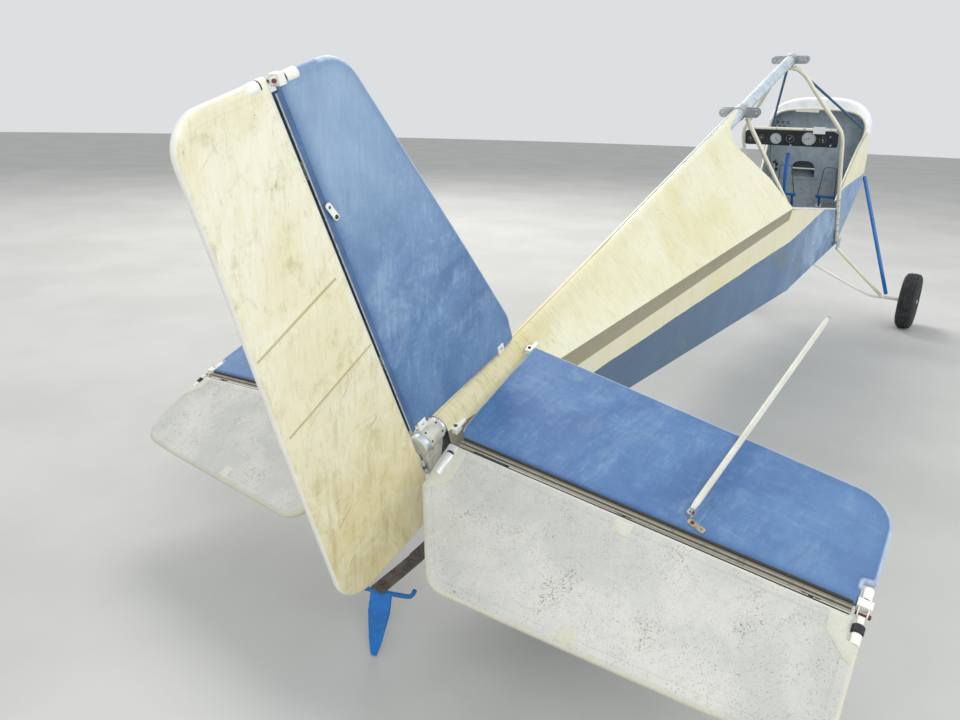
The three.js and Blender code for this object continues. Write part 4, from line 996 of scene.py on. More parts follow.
def ring(name, profile, place, axis, material, body="airframe", sides=32, sharp=40):
    """A closed profile of (radius, height) turned about an axis."""
    u, v, w = basis(axis)
    base = Vector(place)
    n = len(profile)
    points = [base + w * along + (u * c + v * s) * radius
              for c, s in circle(sides) for radius, along in profile]
    faces = []
    for k in range(sides):
        a, b = k * n, ((k + 1) % sides) * n
        faces += [[a + i, b + i, b + (i + 1) % n, a + (i + 1) % n] for i in range(n)]
    area = sum(p[0] * q[1] - q[0] * p[1] for p, q in zip(profile, profile[1:] + profile[:1]))
    if area < 0:
        faces = [f[::-1] for f in faces]
    return make(name, points, faces, material, body, sharp=sharp)


def collar(name, place, axis, inner, outer, length, material, body="airframe", sides=28):
    half = length / 2
    soft = min(1.2, (outer - inner) / 2)
    profile = [(inner, -half), (outer - soft, -half), (outer, -half + soft), (outer, half - soft),
               (outer - soft, half), (inner, half)]
    return ring(name, profile, place, axis, material, body, sides)


def bolt(name, place, axis, size, material="fitting", body="airframe"):
    """Hexagon head with a chamfered top, on a round washer."""
    low, high = size * 0.18, size * 0.80
    profile = [(0, -0.6), (size * 1.2, -0.6), (size * 1.2, low), (0, low)]
    turned(f"{name}_washer", profile, place, axis, material, body, 20)
    profile = [(0, low - 0.4), (size, low - 0.4), (size, high - size * 0.15), (size * 0.82, high), (0, high)]
    turned(name, profile, place, axis, material, body, 6, 20)


def block(name, centre, size, axes, material, body="airframe", bevel=1.2):
    """Block with chamfered edges, its size given along three directions."""
    u, v, w = (Vector(a).normalized() for a in axes)
    if u.cross(v).dot(w) < 0:
        w = -w
    x, y, z = (d / 2 for d in size)
    b = min(bevel, min(x, y, z) * 0.6)
    points = []
    for level, inset in ((-z, b), (b - z, 0), (z - b, 0), (z, b)):
        i, j = x - inset, y - inset
        corners = [(i, b - j), (i, j - b), (i - b, j), (b - i, j), (-i, j - b), (-i, b - j), (b - i, -j),
                   (i - b, -j)]
        points += [Vector(centre) + u * p + v * q + w * level for p, q in corners]
    faces = hoops((0, 8, 16), 8) + [list(range(8))[::-1], list(range(24, 32))]
    return make(name, points, faces, material, body, sharp=20)


def plate(name, corners, origin, along_u, along_v, thickness, material, holes):
    """Flat plate with rounded corners and round holes, in the plane of two directions."""
    outline = resample(rounded(corners, 0.25), 8.0)
    flat, loops = list(outline), [list(range(len(outline)))]
    for x, y, radius in holes:
        loops.append(list(range(len(flat), len(flat) + 16)))
        flat += [np.array([x + radius * math.cos(0.3927 * k), y - radius * math.sin(0.3927 * k)])
                 for k in range(16)]
    edges = [pair for loop in loops for pair in zip(loop, loop[1:] + loop[:1])]
    verts, tris = triangulated(flat, edges, [], 0)

    def solid(tri):
        mid = verts[tri].mean(0)
        in_hole = any(math.hypot(mid[0] - x, mid[1] - y) < r * 0.9 for x, y, r in holes)
        return not in_hole and inside(mid[None, :], outline)[0]
    used, tris = packed([tri for tri in tris if solid(tri)])
    u = Vector(along_u).normalized()
    v = (Vector(along_v) - u * u.dot(Vector(along_v))).normalized()
    n = u.cross(v)
    points = [Vector(origin) + u * p[0] + v * p[1] + n * (thickness * side)
              for side in (0.5, -0.5) for p in verts[used]]
    return make(name, points, two_faced(tris, len(used)), material, sharp=30)


def ripples(a, b, seed, size, stretch=(1.0, 1.0)):
    return waves(np.stack([a.ravel(), b.ravel()], axis=1), seed, size, stretch).reshape(a.shape)


# Fuselage cloth

# Radius of the upper cloth where it wraps round the boom, then the straight lines that bound the panels
WRAP = 35.35
SHOULDER = ((60, 38, -12), (2843, 310, -539))
BAND_LOW = ((60, 39, -90), (2860, 292, -620))
LONGERON = ((60, 33, -272), (2905, 308, -1106))


def on_line(line, x):
    """The point of a straight line, given by two points, that has this x."""
    a, b = (np.array(p, float) for p in line)
    return a + (b - a) * ((x - a[0]) / (b[0] - a[0]))


def between(top, bottom, cols):
    w = np.linspace(0, 1, cols)[None, :, None]
    return np.array(top, float)[:, None, :] * (1 - w) + np.array(bottom, float)[:, None, :] * w


def place_in(grid):
    """How far along its rows and across its columns each point of a grid is, 0 to 1."""
    rows, cols = grid.shape[:2]
    return (np.linspace(0, 1, rows)[:, None] * np.ones((1, cols)),
            np.linspace(0, 1, cols)[None, :] * np.ones((rows, 1)))


# How far the front edge of the upper cloth is cut back, from the boom down to the shoulder
FRONT_CUT = ((0, 0.1, 0.22, 0.36, 0.62, 1), (70, 135, 128, 84, 34, 8))
# Ends of the upper cloth, and its steps round the boom and down to the shoulder
STERN_END, HOOP_END = 56, 2843
ARC_STEPS, FLAT_STEPS = 12, 34


def upper_grid(s):
    """Rows from the boom's crown round it and down to the shoulder line, on side s."""
    grid = []
    for t in np.linspace(0, 1, 150):
        x = STERN_END + (HOOP_END - STERN_END) * t
        _, y, z = on_line(SHOULDER, x)
        tangent = math.atan2(z, y) + math.acos(WRAP / math.hypot(y, z))
        crown = math.pi / 2 - np.interp(t, (0, 0.36, 0.52, 1), (0.03, 0.04, 0.20, 0.26))
        row = []
        for k in range(ARC_STEPS + 1):
            q = k / ARC_STEPS
            angle = crown + (tangent - crown) * q
            cut = (73 + 130 * q) * t ** 4 + 70 * q * t ** 9
            row.append((x - cut, s * WRAP * math.cos(angle), WRAP * math.sin(angle)))
        last = np.array([x, s * WRAP * math.cos(tangent), WRAP * math.sin(tangent)])
        for w in np.arange(1, FLAT_STEPS + 1) / FLAT_STEPS:
            p = last + (np.array([x, s * y, z]) - last) * w
            cut = 203 * (1 - w) * t ** 4 + np.interp(w, *FRONT_CUT) * t ** 9
            row.append((p[0] - cut, p[1], p[2]))
        grid.append(row)
    return np.array(grid, float)


def side_strip(s, name, node, top, bottom, cols, material, bulge):
    """A sheet between two rows of points on side s, pushed out by what bulge says of each place."""
    grid = between(top, bottom, cols)
    grid[..., 1] *= s
    obj = shell(name, grid, (0, -s, 0), material, push=bulge(grid, *place_in(grid), s))
    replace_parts(obj, node)


def waist_push(g, _, w, s):
    return np.sin(math.pi * w) * (-1.4 + 0.9 * ripples(g[..., 0], g[..., 2], 81 + s, 170, (1, 0.3)))


def lower_push(g, t, w, s):
    """Slack cloth, with folds in its lower two thirds; it lies flat at the hoop."""
    x, z = g[..., 0], g[..., 2]
    slack = -4.0 + 1.0 * ripples(x, z, 91 + s, 210, (0.3, 1.0))
    low_part = np.sin(math.pi * np.clip(w * 1.5 - 0.5, 0, 1))
    folds = low_part * (0.5 + t * t) * ripples(x + z, z, 96 + s, 150, (0.25, 1.2))
    return np.clip((1 - t) / 0.08 - 0.4, 0, 1) * (np.sin(math.pi * w) * slack + folds)


def cabin_push(g, t, w, s):
    """Slack cloth, with folds that fan out from the foot of the hoop."""
    x, z = g[..., 0], g[..., 2]
    slack = -3.0 + 2.0 * ripples(x * 0.75 + z, x, 104 + s, 115, (1.0, 0.16))
    away_x, away_z = x - 4262, z + 1500
    reach = np.hypot(away_x, away_z)
    turn = np.arctan2(away_z, -away_x) + 0.12 * ripples(x, z, 108 + s, 300, (1, 1))
    fan = np.sin(turn * 21.0) * np.clip(reach / 90, 0, 1) * np.exp(-((reach - 60) / 430) ** 2)
    rim = np.clip(w * 6, 0, 1) * np.clip((1 - w) * 9 + 0.15, 0, 1) * np.clip((1 - t) * 14, 0, 1)
    return np.sin(math.pi * t) ** 0.6 * np.sin(math.pi * w) * slack + 5.2 * fan * rim


def cabin_line(start, end, y, share, fall):
    """A point of the cabin's sill or keel: it leaves the rear cloth's edge and runs straight on."""
    (x0, z0), (x1, z1) = start, end
    return x0 + (x1 - x0) * share, 302.4 + (y - 303.8) * fall, z0 + (z1 - z0) * share


for tag, s in SIDES:
    grid = upper_grid(s)
    t, w = place_in(grid)
    w = np.clip((w * (ARC_STEPS + FLAT_STEPS) - ARC_STEPS) / FLAT_STEPS, 0, 1)
    reach = w * 620 * t
    drawn = np.sin(math.pi * w) ** 0.8 * np.clip(t * 1.3, 0.1, 1)
    puckers = ripples(grid[..., 0], reach, 61 + s, 260, (0.9, 0.35))
    small = ripples(grid[..., 0], reach, 71 + s, 95, (1.0, 0.3))
    near_front = np.clip((t - 0.80) / 0.2, 0, 1)
    hang = np.sin(reach * 0.020 + (1 - t) * 30) * near_front ** 2 * (1 - w) * w * 9
    push = drawn * (-5.0 + 1.7 * puckers + 0.6 * small) + hang
    cloth = shell(f"upper_cloth_{tag}", grid, (0, -0.88 * s, -0.47), "skin_cream", push=push)
    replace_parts(cloth, f"upper_skin_{tag}")
    xs = np.linspace(STERN_END, HOOP_END, 120)
    side_strip(s, f"waist_cloth_{tag}", f"waist_band_{tag}", [on_line(SHOULDER, x) - (0, 0.6, 2) for x in xs],
               [on_line(BAND_LOW, x) for x in xs], 9, "taupe", waist_push)
    shares = np.linspace(0, 1, 130)
    side_strip(s, f"lower_cloth_{tag}", f"lower_skin_{tag}",
               [on_line(BAND_LOW, 60 + 2790 * q) - (0, 0, 0.8) for q in shares],
               [on_line(LONGERON, 60 + 2835 * q) for q in shares], 31, "side_cloth", lower_push)
    shares = np.linspace(0, 1, 96)
    lap = [max(1 - q / 0.16, 0) ** 2 for q in shares]
    sill_y, keel_y = on_line(BAND_LOW, 2836)[1], on_line(LONGERON, 2876)[1]
    sill = [cabin_line((2836, -545.5), (4139.2, -1150), sill_y, q, fall) for q, fall in zip(shares, lap)]
    keel = [cabin_line((2876, -1098), (4262.2, -1486), keel_y, q, fall) for q, fall in zip(shares, lap)]
    side_strip(s, f"cabin_cloth_{tag}", f"cabin_side_{tag}", sill, keel, 64, "side_cloth", cabin_push)

# Nose panel: top, middle and bottom point of each section
NOSE_ROWS = (
    ((4110, 301, -1060), (4180, 301, -1270), (4263, 301, -1487)),
    ((4360, 316, -938), (4385, 318, -1190), (4430, 314, -1405)),
    ((4520, 334, -838), (4550, 336, -1085), (4600, 332, -1300)),
    ((4668, 356, -768), (4700, 356, -1000), (4740, 345, -1205)),
    ((4780, 350, -790), (4800, 350, -1000), (4820, 338, -1192)),
    ((4900, 312, -815), (4900, 312, -1000), (4900, 306, -1176)),
)
for tag, s in SIDES:
    a, b, c = (np.array(spline([row[k] for row in NOSE_ROWS], 84))[:, None, :] for k in range(3))
    w = np.linspace(0, 1, 32)[None, :, None]
    grid = a * (1 - w) * (1 - 2 * w) + b * 4 * w * (1 - w) + c * w * (2 * w - 1)
    grid[..., 1] *= s
    t, w = place_in(grid)
    pleats = ripples(grid[..., 0] + 0.42 * grid[..., 2], grid[..., 2], 111 + s, 70, (1.0, 0.07))
    push = (np.sin(math.pi * t) * np.sin(math.pi * w)) ** 0.6 * (-1.5 + 3.4 * pleats * np.clip(
        1.2 - t, 0.2, 1))
    cloth = shell(f"nose_cloth_{tag}", grid, (0, -s, 0), "nose_cloth", push=push)
    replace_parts(cloth, f"nose_side_{tag}")

# Nose moulding: x, half width, height of the top and of the side edges of each section
COWL_ROWS = (
    (4646, 341, -592, -783), (4655, 352, -562, -788), (4672, 362, -534, -790), (4740, 360, -546, -806),
    (4810, 352, -576, -814), (4868, 336, -620, -828), (4908, 318, -672, -836),
)
ARCH_POWER = 0.714


def arch(half, top, side, t):
    c = math.cos(t)
    return (half * math.copysign(abs(c) ** ARCH_POWER, c),
            side + (top - side) * abs(math.sin(t)) ** ARCH_POWER)


stations, _, _, edges = zip(*COWL_ROWS)
grid = np.array([[(x, *arch(half, top, np.interp(x, stations, edges), math.pi * k / 80)) for k in range(81)]
                 for x, half, top in spline([row[:3] for row in COWL_ROWS], 40)])
n = grid_normals(grid)
toward = np.stack([0 * grid[..., 0], -grid[..., 1], -760 - grid[..., 2]], axis=2)
n *= np.where((n * toward).sum(2) < 0, -1.0, 1.0)[..., None]
moulding = np.concatenate([grid, (grid + n * 4.0)[::-1]])
count, cols = moulding.shape[:2]
faces = []
for i in range(count):
    a, b = i * cols, ((i + 1) % count) * cols
    faces += [[a + k, a + k + 1, b + k + 1, b + k] for k in range(cols - 1)]
faces.append([i * cols for i in range(count)])
faces.append([i * cols + cols - 1 for i in range(count)][::-1])
cowl = make("nose_moulding", moulding.reshape(-1, 3), faces, "white_shell", sharp=40,
            attrs={"inside": np.repeat([0, 1], len(grid) * cols)})
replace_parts(cowl, "nose_cowl")
tube("cowl_lip", [(4645, *arch(341, -594, -783, math.pi * k / 80)) for k in range(81)], 3.6,
     "white_shell", sides=12)

SMOOTHED = {
    "tail_boom": "boom_tube", "wing_fitting_rear": "rear_wing_clamp",
    "wing_fitting_front": "front_wing_clamp", "cabin_hoop": "hoop_tube", "cross_tube": "shoulder_tube",
    "nose_rim_tube": "rim_tube", "seat_tube_front": "front_seat_bar", "seat_tube_rear": "rear_seat_bar",
    "control_stick": "stick_tube", "stern_post": "stern_tube", "tail_skid": "skid_blade",
    "tail_spring": "spring_leaf",
}
for tag, _ in SIDES:
    SMOOTHED |= {
        f"a_pillar_{tag}": f"pillar_tube_{tag}", f"seat_back_tube_{tag}": f"back_tube_{tag}",
        f"gear_tube_{tag}": f"rear_leg_{tag}",
        f"gear_link_{tag}": f"axle_link_{tag}", f"strut_lug_{tag}": f"lug_plate_{tag}",
        f"hub_{tag}": f"wheel_disc_{tag}",
    }
for node, name in SMOOTHED.items():
    smoothed(node, name)
smoothed("nose_cap", "nose_front", (-1, 0, 0))
for word in ("rear", "cabin", "nose"):
    smoothed(f"belly_skin_{word}", f"belly_cloth_{word}", (0, 0, 1))

# Tail plane fittings, hinge strips and braces

# Place of the elevator's hinge line ahead of ROOT, spacing of its knuckles and middle of their leaves
HINGE_U = 15.5
KNUCKLE_STEP = 14.5
LEAF_REACH = 14.5
ROOT = Vector(TAIL_ROOT)
PATCHES = {
    "inboard": [(-8, 84, 2), (-8, 136, 2), (-108, 142, 3), (-166, 90, 3), (-118, 84, 3)],
    "outboard": [(-10, 1124, 2), (-10, 1166, 2), (-64, 1168, 3), (-66, 1190, 3), (-112, 1191, 3),
                 (-106, 1174, 3), (-58, 1128, 3)],
    "repair": [(-321, 614, 3), (-319, 652, 3), (-366, 660, 3), (-374, 612, 3)],
    "mend": [(-14, 610, 2), (-14, 659, 2), (-52, 660, 3), (-55, 614, 3)],
}


def knuckle(name, middle, line, body):
    collar(name, middle, line, 1.0, 6.4, 13.8, "steel_strip", body, 20)


def strip_height(across):
    """Height of the gap strip over the middle of the hinge, falling away aft."""
    return 8.9 - 8.9 * ((across - 4.4) / 31.6) ** 3


for tag, s in SIDES:
    u, e, v = tail_axes(s)
    u.normalize()
    e.normalize()
    # n stands on the stabiliser, m on the elevator
    n = u.cross(v).normalized() * s
    m = e.cross(v).normalized() * s
    flap = f"elevator_{tag}"

    def on_strip(along, across, rise=0.0):
        return ROOT + v * along + u * across + n * (strip_height(across) + rise)

    grid = [[on_strip(along, across) for across in np.linspace(4.4, 36, 12)]
            for along in np.linspace(94, 1164, 100)]
    shell(f"gap_strip_{tag}", grid, tuple(-n), "hinge_web", 1.2)
    for k, (across, cord) in enumerate(((6.4, "web_cord"), (12, "web_dark"), (17.6, "web_cord"))):
        line = [on_strip(along, across, 0.2) for along in np.linspace(95, 1163, 60)]
        tube(f"gap_cord_{tag}_{k}", line, 1.3, cord, sides=8)
    # Painted shade: the dark welt along the stabiliser's edge stands in for the shadow line next to it.
    line = [on_strip(along, 33, 4.0) for along in np.linspace(96, 1162, 60)]
    tube(f"gap_shade_welt_{tag}", line, 4.2, "web_dark", sides=12)
    line = [ROOT + v * along - e * 6.5 + m * 8.6 for along in np.linspace(94, 1164, 60)]
    tube(f"elevator_piping_{tag}", line, 2.7, "piping", flap, sides=10)
    knuckles = [(at, step) for at in (170, 620, 1080) for step in (-KNUCKLE_STEP, 0, KNUCKLE_STEP)]
    for k, (at, step) in enumerate(knuckles):
        middle = ROOT + u * HINGE_U + v * (at + step)
        knuckle(f"knuckle_{tag}_{k}", middle, v, "airframe" if step else flap)
        if step:
            block(f"knuckle_leaf_{tag}_{k}", middle + u * LEAF_REACH, (17, 11.6, 4), (u, v, n),
                  "steel_strip")
        else:
            block(f"knuckle_leaf_{tag}_{k}", middle - e * LEAF_REACH - m * 2, (17, 11.6, 2.4), (e, v, m),
                  "steel_strip", flap)
    axis = ROOT + u * HINGE_U
    grid = [[tuple(axis + v * along - e * (8 + 18 * q) + m * (-2.6 + 8.2 * q)) for q in np.linspace(0, 1, 5)]
            for along in np.linspace(95, 1163, 60)]
    shell(f"elevator_gap_tongue_{tag}", grid, tuple(-m), "web_dark", 1.0, body=flap)
    tip = ROOT + v * 1186
    sleeve(f"stab_tip_tube_{tag}", tip, u, 52, 86, (9.6, 11.2))
    block(f"stab_tip_channel_{tag}", tip + u * 39, (22, 32, 25), (u, v, n), "white_paint")
    collar(f"stab_tip_seal_{tag}", tip + u * 51, u, 4, 11.8, 4, "black_rubber")
    for k, along in enumerate((1176, 1196)):
        plate(f"stab_tip_ear_{tag}_{k}", [(-9, -9, 8), (24, -9, 0.5), (24, 9, 0.5), (-9, 9, 8)],
              ROOT + v * along + u * HINGE_U, u, n, 2.6, "white_paint", holes=[(0, 0, 3)])
    pin = [(0, -15), (4.8, -15), (4.8, -11.6), (2.8, -11.6), (2.8, 11.6), (5.6, 11.6), (5.6, 16.5), (4, 18),
           (0, 18)]
    turned(f"tip_pin_{tag}", pin, tip + u * HINGE_U, v, "red_anodised", sides=20)
    block(f"elevator_tip_channel_{tag}", tip - e * 5, (18, 13, 24), (e, v, m), "white_paint", flap)
    collar(f"elevator_tip_collar_{tag}", tip - e * 24, e, 3, 13.4, 20, "black_rubber", flap)
    sleeve(f"elevator_tip_tube_{tag}", tip, -e, 34, 62, (9.4, 11.4), body=flap)
    root = ROOT + v * 91 + m * 6.5
    tube(f"elevator_root_tube_{tag}", [root - e * 36, root - e * 38, root - e * 108 + v * 4,
                                       root - e * 110 + v * 4], (12.8, 14.2, 14.2, 12.8), "white_alloy",
         flap, 28)
    collar(f"elevator_root_seal_{tag}", root - e * 33, e, 3, 13.8, 6, "black_rubber", flap)
    block(f"elevator_root_clip_{tag}", root - e * 18, (20, 26, 27), (e, v, m), "white_alloy", flap)
    for word, along, out in (("fore", 478, 56), ("aft", 60, 44)):
        mid = ROOT + u * along + v * out
        block(f"stab_clip_{word}_{tag}", mid + n * 2, (30, 24, 22), (u, v, n), "white_paint")
        block(f"stab_strap_{word}_{tag}", mid - v * 14 + n * 7, (18, 26, 4), (u, v, n), "fitting")
        bolt(f"stab_bolt_{word}_{tag}", mid - v * 20 + n * 9, n, 5.0)
        bolt(f"stab_nut_{word}_{tag}", mid + n * 13, n, 5.0, "rust")
        sleeve(f"stab_stub_{word}_{tag}", mid, u, 16, 46, (6.4, 7.8), sides=20)
    for key, corners in PATCHES.items():
        for side, word in ((1, "top"), (-1, "low")):
            if side > 0 or key in ("inboard", "outboard"):
                patch(f"{key}_{word}_{tag}", FLAP_FACES[tag], corners, flap, "grey_patch", 1.1, side * s)
    low = Vector((92, s * 770, -50))
    free = Vector((1027, s * 868, -30))
    along = (free - low).normalized()
    across = along.cross(n).normalized()
    path = [low + along * 8, low + along * 34, free - along * 40, free - along * 8]
    rod = tube(f"brace_tube_{tag}", path, (6.0, 8.6, 8.6, 6.0), "brace_paint", sides=20)
    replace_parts(rod, f"tail_brace_{tag}")
    for word, place, way in (("low", low + along * 4, -1), ("free", free - along * 4, 1)):
        plate(f"brace_eye_{word}_{tag}", [(-18, -5, 4), (14, -8.5, 8), (14, 8.5, 8), (-18, 5, 4)], place,
              along * way, across, 3.6, "fitting", holes=[(6, 0, 3.6)])
    foot = ROOT + u * 56 + v * 794 + n * 14.2
    lie = (v - u * 0.33).normalized()
    plate(f"brace_tang_{tag}", [(-25, -8, 7), (25, -8, 5), (25, 8, 5), (-25, 8, 7)], foot, lie,
          n.cross(lie), 3.2, "galvanised", holes=[(15, 0, 3.2)])
    plate(f"brace_post_{tag}", [(-10, -6, 0), (10, -6, 0), (7, 30, 6), (-7, 30, 6)],
          low - n * 17 + along * 1 + across * 4.2, along, n, 3.0, "galvanised", holes=[(0, 17, 3.2)])
    bolt(f"brace_bolt_{tag}", low + across * 6.2, across, 4.4, "rust")
    bolt(f"tang_bolt_{tag}", foot - lie * 12 + n * 1.6, n, 4.6, "rust")

# Fin, rudder and stern fittings

sleeve("fin_tip_tube", Z * 1068, X, -104, -70, (13.0, 14.4), sides=28)
collar("fin_tip_seal", (-106, 0, 1069), X, 4, 13.4, 5, "black_rubber")
block("fin_tip_channel", (-119, 0, 1071), (20, 30, 25), (X, Y, Z), "white_paint")
sleeve("rudder_tip_tube", Z * 1070.5, -X, 176, 206, (13.0, 14.4), body="rudder", sides=28)
collar("rudder_tip_seal", (-173.5, 0, 1070.5), X, 4, 13.6, 5, "black_rubber", "rudder")
block("rudder_tip_channel", (-163, 0, 1073), (20, 10, 25), (X, Y, Z), "white_paint", "rudder")
for k, y in enumerate((-11, 11)):
    plate(f"fin_tip_ear_{k}", [(-6.5, -6.5, 6), (20, -9, 0.5), (20, 9, 0.5), (-6.5, 6.5, 6)],
          (hinge_x(1073), y * 0.82, 1073), X, Z, 2.6, "white_paint", holes=[(0, 0, 3)])
turned("fin_tip_pin", [(0, -17), (4.6, -17), (4.6, -12.6), (2.6, -12.6), (2.6, 12.6), (5.2, 12.6), (5.2, 18),
                       (0, 18)], (hinge_x(1073), 0, 1073), Y, "red_anodised", sides=20)
for k, y in enumerate((-1, 1)):
    grid = [[(hinge_x(z) + 16 - 21 * q, 7.9 * y, z) for q in np.linspace(0, 1, 8)]
            for z in np.linspace(64, 1050, 90)]
    shell(f"fin_gap_strip_{k}", grid, (0, -y, 0), "fin_tape", 1.2)
    line = [(hinge_x(z) - 3.4, 8.4 * y, z) for z in np.linspace(66, 1048, 60)]
    tube(f"fin_gap_bead_{k}", line, 1.9, "web_cord", sides=10)
LINE = Vector((-LEAN, 0, 1)).normalized()
knuckles = [(at, step) for at in (330, 880) for step in (-KNUCKLE_STEP, 0, KNUCKLE_STEP)]
for k, (at, step) in enumerate(knuckles):
    rides, way = ("airframe", 1) if step else ("rudder", -1)
    middle = Vector((hinge_x(at), 0, at)) + LINE * step
    knuckle(f"rudder_knuckle_{k}", middle, LINE, rides)
    block(f"rudder_knuckle_leaf_{k}", middle + X * way * 12, (13, 4, 11.6), (X, Y, LINE), "steel_strip",
          rides)
middle = Vector((hinge_x(-85), 0, -85))
knuckle("post_knuckle", middle, LINE, "rudder")
block("post_knuckle_leaf", middle - X * 12, (13, 4, 11.6), (X, Y, LINE), "steel_strip", "rudder")
for k, y in enumerate((-1, 1)):
    side = Y * y
    plate(f"fin_wire_tang_{k}", [(-25, -8, 7), (25, -8, 7), (25, 8, 7), (-25, 8, 7)],
          (-97.5, y * 14.6, 772.5), (0.375, 0, -0.927), (0.927, 0, 0.375), 2.8, "white_paint",
          holes=[(-13, 0, 4.6)])
    bolt(f"fin_tang_bolt_{k}", (-91.5, y * 16, 757), side, 4.4, "rust")
    for word, x, z in (("foot", 404, 52), ("heel", -14, 66)):
        block(f"fin_{word}_clip_{k}", (x, y * 12.5, z), (32, 6, 30), (X, Y, Z), "white_paint")
        bolt(f"fin_{word}_bolt_{k}", (x, y * 15.4, z + 3), side, 4.6)
    for j, (x, z) in enumerate(((-28, -52), (20, -50), (-32, -104), (12, -84), (-34, -160))):
        bolt(f"stern_bolt_{k}_{j}", (x + 6, y * 14.8, z), side, 4.4)
stern = [(31.9, -22), (34.6, -22), (35.4, -20), (35.4, 43), (34.6, 45), (31.9, 45)]
ring("stern_sleeve", stern, (0, 0, 0), X, "post_plate", sides=48)
turned("boom_end_cap", [(0, -0.5), (31.7, -0.5), (31.7, -7), (33, -7), (33, 0.6), (31.6, 2), (0, 2.2)],
       (-45, 0, 0), -X, "post_plate", sides=48)


def across_boom(angle):
    return Vector((0, math.cos(angle), math.sin(angle)))


for k in range(6):
    out = across_boom(0.15 + 0.94 * k)
    for j, x in enumerate((-14, 36)):
        turned(f"sleeve_rivet_{k}_{j}", [(0, -0.6), (3.6, -0.6), (3.3, 0.8), (2.1, 1.7), (0, 2.0)],
               X * x + out * 35.3, out, "mark_black", sides=14)
SEAMS = (("high", (-146, 626), (-418, 569)), ("low", (-106, 411), (-420, 351)))
for word, (x0, z0), (x1, z1) in SEAMS:
    down = Vector((z1 - z0, x0 - x1)).normalized() * 3.2
    corners = [(x0 - down[0], z0 - down[1], 1), (x1 - down[0], z1 - down[1], 1),
               (x1 + down[0], z1 + down[1], 1), (x0 + down[0], z0 + down[1], 1)]
    for side, face in ((1, "a"), (-1, "b")):
        patch(f"rudder_seam_{word}_{face}", rudder_face, corners, "rudder", "seam_tape", 0.8, side, 20)

# Cabin: panel, dials, stick, pedals, ties and bolts

PANEL_FACE = 3903.9
BULKHEAD_FACE = 4741.2
# Dials: key, y, z, radius, pale face or dark
DIALS = (("a", 262, -562, 23, 0), ("b", 186, -549, 21, 0), ("c", 93, -554, 39, 1), ("d", 1, -553, 32, 0),
         ("e", -119, -547, 46, 1), ("f", -206, -551, 25, 0))
for key, y, z, r, pale in DIALS:
    at = (PANEL_FACE, y, z)
    rim = [(r - 1.2, 0.0), (r + 3.6, 0.0), (r + 3.6, 3.4), (r + 1.8, 5.4), (r + 0.2, 5.6), (r - 1.2, 3.2)]
    ring(f"dial_case_{key}", rim, at, -X, "panel_trim", sides=44)
    turned(f"dial_face_{key}", [(0, -0.3), (r, -0.3), (r, 1.2), (0, 1.2)], at, -X,
           "pale_face" if pale else "dark_face", sides=44)
    ink = "mark_black" if pale else "mark_white"
    for k in range(12):
        out = across_boom(k * math.pi / 6)
        block(f"dial_tick_{key}_{k}", Vector((PANEL_FACE - 1.5, y, z)) + out * r * 0.82,
              (r * 0.17, 1.5 if k % 3 else 2.6, 0.8), (out, X.cross(out), X), ink, bevel=0.1)
    out = across_boom(2.2 + y * 0.02)
    block(f"dial_hand_{key}", Vector((PANEL_FACE - 2.0, y, z)) + out * r * 0.26, (r * 0.92, 2.0, 0.8),
          (out, X.cross(out), X), ink, bevel=0.1)
    turned(f"dial_hub_{key}", [(0, 1.0), (3.4, 1.0), (3.0, 3.2), (0, 3.4)], at, -X, ink, sides=16)
# Knobs: y, z, radius; the ones in ALLOY_KNOBS are of bare metal
ALLOY_KNOBS = (2, 5, 7)
KNOBS = ((262, -596, 4), (48, -590, 4.5), (-6, -597, 6), (-60, -592, 4), (-160, -594, 5), (-252, -530, 4.5),
         (-266, -558, 6), (-258, -586, 5), (140, -512, 4), (-64, -512, 4))
for k, (y, z, r) in enumerate(KNOBS):
    turned(f"panel_knob_{k}", [(0, -0.3), (r, -0.3), (r, 3), (r * 0.6, 4), (r * 0.6, 9), (r * 0.95, 10),
                               (r * 0.9, 14), (0, 14.5)], (PANEL_FACE, y, z), -X,
           "fitting" if k in ALLOY_KNOBS else "panel_trim", sides=20)
block("blank_placard", (3893.6, -181, -487), (2.2, 76, 46), (X, Y, Z), "white_shell", bevel=0.6)
for k, y in enumerate((-206, -158)):
    block(f"placard_clip_{k}", (3896.5, y, -474), (6, 9, 20), (X, Y, Z), "white_paint")
for k, y in enumerate((-250, -90, 90, 250)):
    collar(f"panel_clamp_{k}", (3906, y, -486), Y, 8.8, 11.4, 12, "fitting")
block("rim_tag", (4634, 72, -612), (3, 165, 24), (X, Y + Z * 0.03, Z), "tag_white", bevel=0.8)
for k, y in enumerate((307, 269, 231)):
    ring(f"bulkhead_port_{k}", [(7.2, 0), (10.2, 0), (10.2, 2.4), (8.8, 3.2), (7.2, 2.4)],
         (BULKHEAD_FACE, y, -745), -X, "panel_trim", sides=24)
for k, z in enumerate((-1083, -1126)):
    turned(f"wall_knob_{k}", [(0, -0.5), (6, -0.5), (6, 8), (12, 10), (12, 20), (9, 23), (0, 23.5)],
           (BULKHEAD_FACE, 292, z), -X, "panel_trim", sides=24)
grip = spline([(3934, 0, -1365.8), (3905, 0, -1180), (3850, 0, -900), (3846, 0, -780), (3885, 0, -640)], 60)
tube("stick_grip", grip[44:59], [12.4] + [13.4] * 13 + [12.6], "blue_grip", sides=24)
turned("stick_cap", [(0, -4), (12.6, -4), (12.9, 2), (10, 7), (5, 9), (0, 9.4)], grip[58],
       Vector(grip[59]) - Vector(grip[56]), "panel_trim", sides=24)
turned("lever_knob", [(0, -2), (9, 0), (13, 6), (14, 13), (11, 20), (5, 24), (0, 24.5)], (4196, 168, -850),
       (-0.3, 0, 1), "panel_trim")
tube("lever_rod", spline([(4196, 168, -850), (4215, 176, -960), (4240, 196, -1080), (4262, 262, -1190)], 24),
     4.2, "fitting", sides=12)
